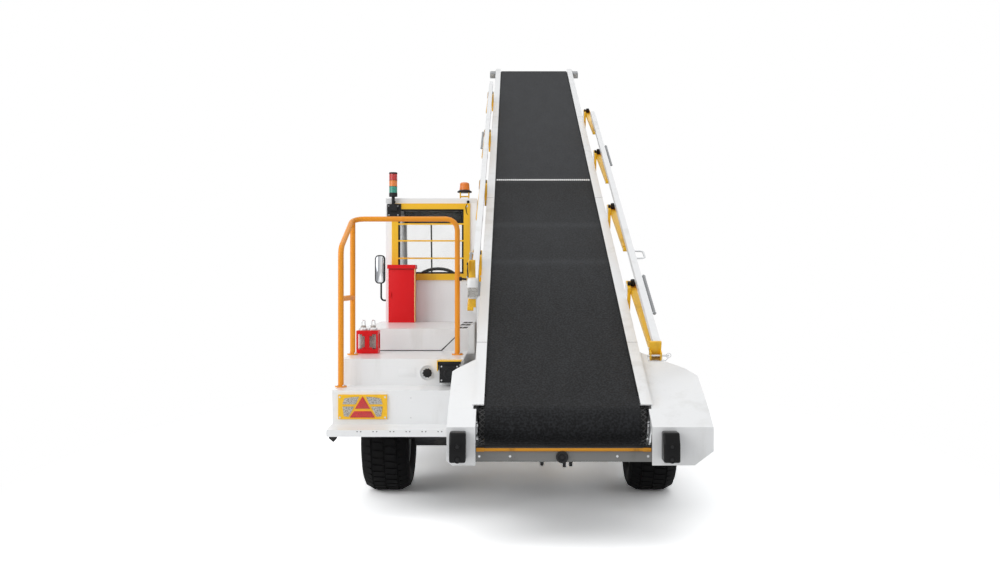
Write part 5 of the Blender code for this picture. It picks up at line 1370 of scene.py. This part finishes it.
def rail_latch():
    yellow = Kit(on_belt).block((0.773, 0.837), (-0.352, -0.3325), (0.488, 0.5775), 0.003)
    yellow.block((0.773, 0.781), (-0.390, -0.3345), (0.488, 0.532), 0.002)
    yellow.block((0.829, 0.837), (-0.390, -0.3345), (0.488, 0.532), 0.002)
    yellow.finish("rail_latch", "guard_rail_right", YELLOW, "yellow_paint")
    bright = Kit(on_belt).block((0.764, 0.846), (-0.395, -0.340), (0.4835, 0.4875), 0.001)
    bright.rod((0.760, -0.372, 0.508), (0.878, -0.372, 0.508), 0.0055, 14)
    ring = [(0.874 + across, -0.372, 0.508 + up) for across, up in spots(12, 0.014)]
    bright.tube(ring + ring[:1], 0.0018, 6)
    tether = [(0.874, -0.372, 0.494), (0.862, -0.360, 0.470), (0.840, -0.350, 0.476), (0.836, -0.345, 0.492)]
    bright.tube(tether, 0.0015, 6, 0.008)
    bright.finish("rail_latch_pin", "guard_rail_right", ZINC, "bright_steel")


def rail_lamp():
    shade = Kit().block((-0.232, -0.166), (-3.150, -3.080), (1.2450, 1.3720), 0.028, 6)
    shade.finish("rail_lamp_case", "guard_rail_left", WHITE, "white_paint")
    front = Kit().block((-0.229, -0.169), (-3.1515, -3.146), (1.2550, 1.3120), 0.0022, 3)
    front.finish("rail_lamp_glass", "guard_rail_left", LAMP_GLASS, "glass")
    stand = Kit(on_belt).block((-0.2225, -0.1825), (0.2055, 0.2121), (RAIL_N - 0.0195, 0.835), 0.002)
    stand.block((-0.2225, -0.2165), (0.1700, 0.2080), (0.768, 0.835), 0.002)
    stand.finish("rail_lamp_bracket", "guard_rail_left", YELLOW, "yellow_paint")
    stem = Kit().tube([(-0.226, -3.106, 1.372), (-0.230, -3.106, 1.412), (-0.226, -3.106, 1.442)], 0.0045, 10)
    stem.lathe([(0, 0.004), (0.004, 0.009), (0.011, 0.010), (0.018, 0.006), (0.020, 0.0005)],
               (-0.226, -3.106, 1.440), UP, 20)
    stem.rod((-0.236, -3.112, 1.360), (-0.262, -3.112, 1.363), 0.006, 14)
    stem.lathe([(0, 0.007), (0.003, 0.012), (0.014, 0.012), (0.017, 0.009), (0.017, 0.0005)],
               (-0.262, -3.112, 1.363), (-1, 0, 0), 20)
    stem.finish("rail_lamp_knob", "guard_rail_left", BLACK_PLASTIC, "black_plastic")


rail_handle()
rail_latch()
rail_lamp()

# %% [markdown]
# The side channels are made in lengths, so a fine seam crosses each flange where two lengths meet. At the
# head a lamp on each side lights the sill of the aircraft's hold. Rubber skirts seal the belt's edges.

# %% Channel seams, skirts and head lamps


def channel_trim():
    dark = Kit(on_belt)
    heads = Kit(on_belt)
    skirt = Kit(on_belt)
    for side in (-1, 1):
        across = (MID_X + side * 0.4055, MID_X + side * 0.4652)
        for s in (0.041, 2.730, 5.400):
            dark.block(across, spread(s, 0.0014), (0.3885, 0.3903), 0)
        skirt.block((MID_X + side * 0.4006, MID_X + side * 0.4048), (-0.58, 7.66), (0.372, 0.3885), 0.001)
        for index in range(14):
            heads.bolt((MID_X + side * 0.4650, 0.35 + index * 0.53, 0.150), (side, 0, 0), 0.006, 0.005)
    dark.finish("channel_seams", "conveyor", SEAM_AND_SHADE, "dark_steel")
    skirt.finish("belt_skirts", "conveyor", RUBBER, "rubber")
    heads.finish("channel_bolts", "conveyor", ZINC, "bright_steel")


def head_lamps():
    for name, side in (("left", -1), ("right", 1)):
        near = MID_X + side * 0.466
        far = MID_X + side * 0.534
        case = Kit(on_belt).block((near, far), (7.594, 7.726), (0.322, 0.386), 0.007, 3)
        case.block((near, near + side * 0.006), (7.560, 7.740), (0.300, 0.3895), 0.002)
        case.finish("head_lamp_case_" + name, "conveyor", GREY_GRIP, "bright_steel")
        glass = Kit(on_belt)
        glass.block((near + side * 0.010, far - side * 0.008), (7.589, 7.595), (0.331, 0.377), 0.002)
        glass.finish("head_lamp_glass_" + name, "conveyor", LAMP_GLASS, "glass")


channel_trim()
head_lamps()

# %% [markdown]
# The hidden sides follow the type: two headlamps and two indicators on the nose, and louvres that let the
# engine breathe. Each lamp is turned on a profile like the real pressed rim. Nothing here goes beyond what
# every such vehicle carries.

# %% Nose lamps and louvres


def nose_lamps():
    rims = Kit()
    glass = Kit()
    ambers = Kit()
    for x in (-0.800, 0.930):
        rims.lathe([(0, 0.078), (0.010, 0.078), (0.014, 0.072), (0.010, 0.066), (0.002, 0.064)],
                   (x, 1.5003, 0.705), FRONT, 40)
        glass.lathe([(0, 0.0635), (0.008, 0.060), (0.014, 0.045), (0.017, 0.022), (0.018, 0.0005)],
                    (x, 1.5015, 0.705), FRONT, 40)
    for x in (-0.665, 1.048):
        ambers.block(spread(x, 0.030), (1.5003, 1.522), (0.680, 0.735), 0.006, 3)
    rims.finish("headlamp_rims", "chassis", ZINC, "bright_steel")
    glass.finish("headlamp_glass", "chassis", CLEAR_LENS, "glass")
    ambers.finish("front_indicators", "chassis", AMBER, "amber_lens")


def louvres():
    kit = Kit()
    for index in range(9):
        y = -1.62 + index * 0.062
        section = [(-1.0005, 0.700), (-1.0005, 0.820), (-1.0105, 0.812), (-1.0105, 0.706)]
        kit.plate(section, y, 0.030, "Y", 0.002)
    kit.finish("engine_louvres", "chassis", WHITE, "white_paint")


nose_lamps()
louvres()
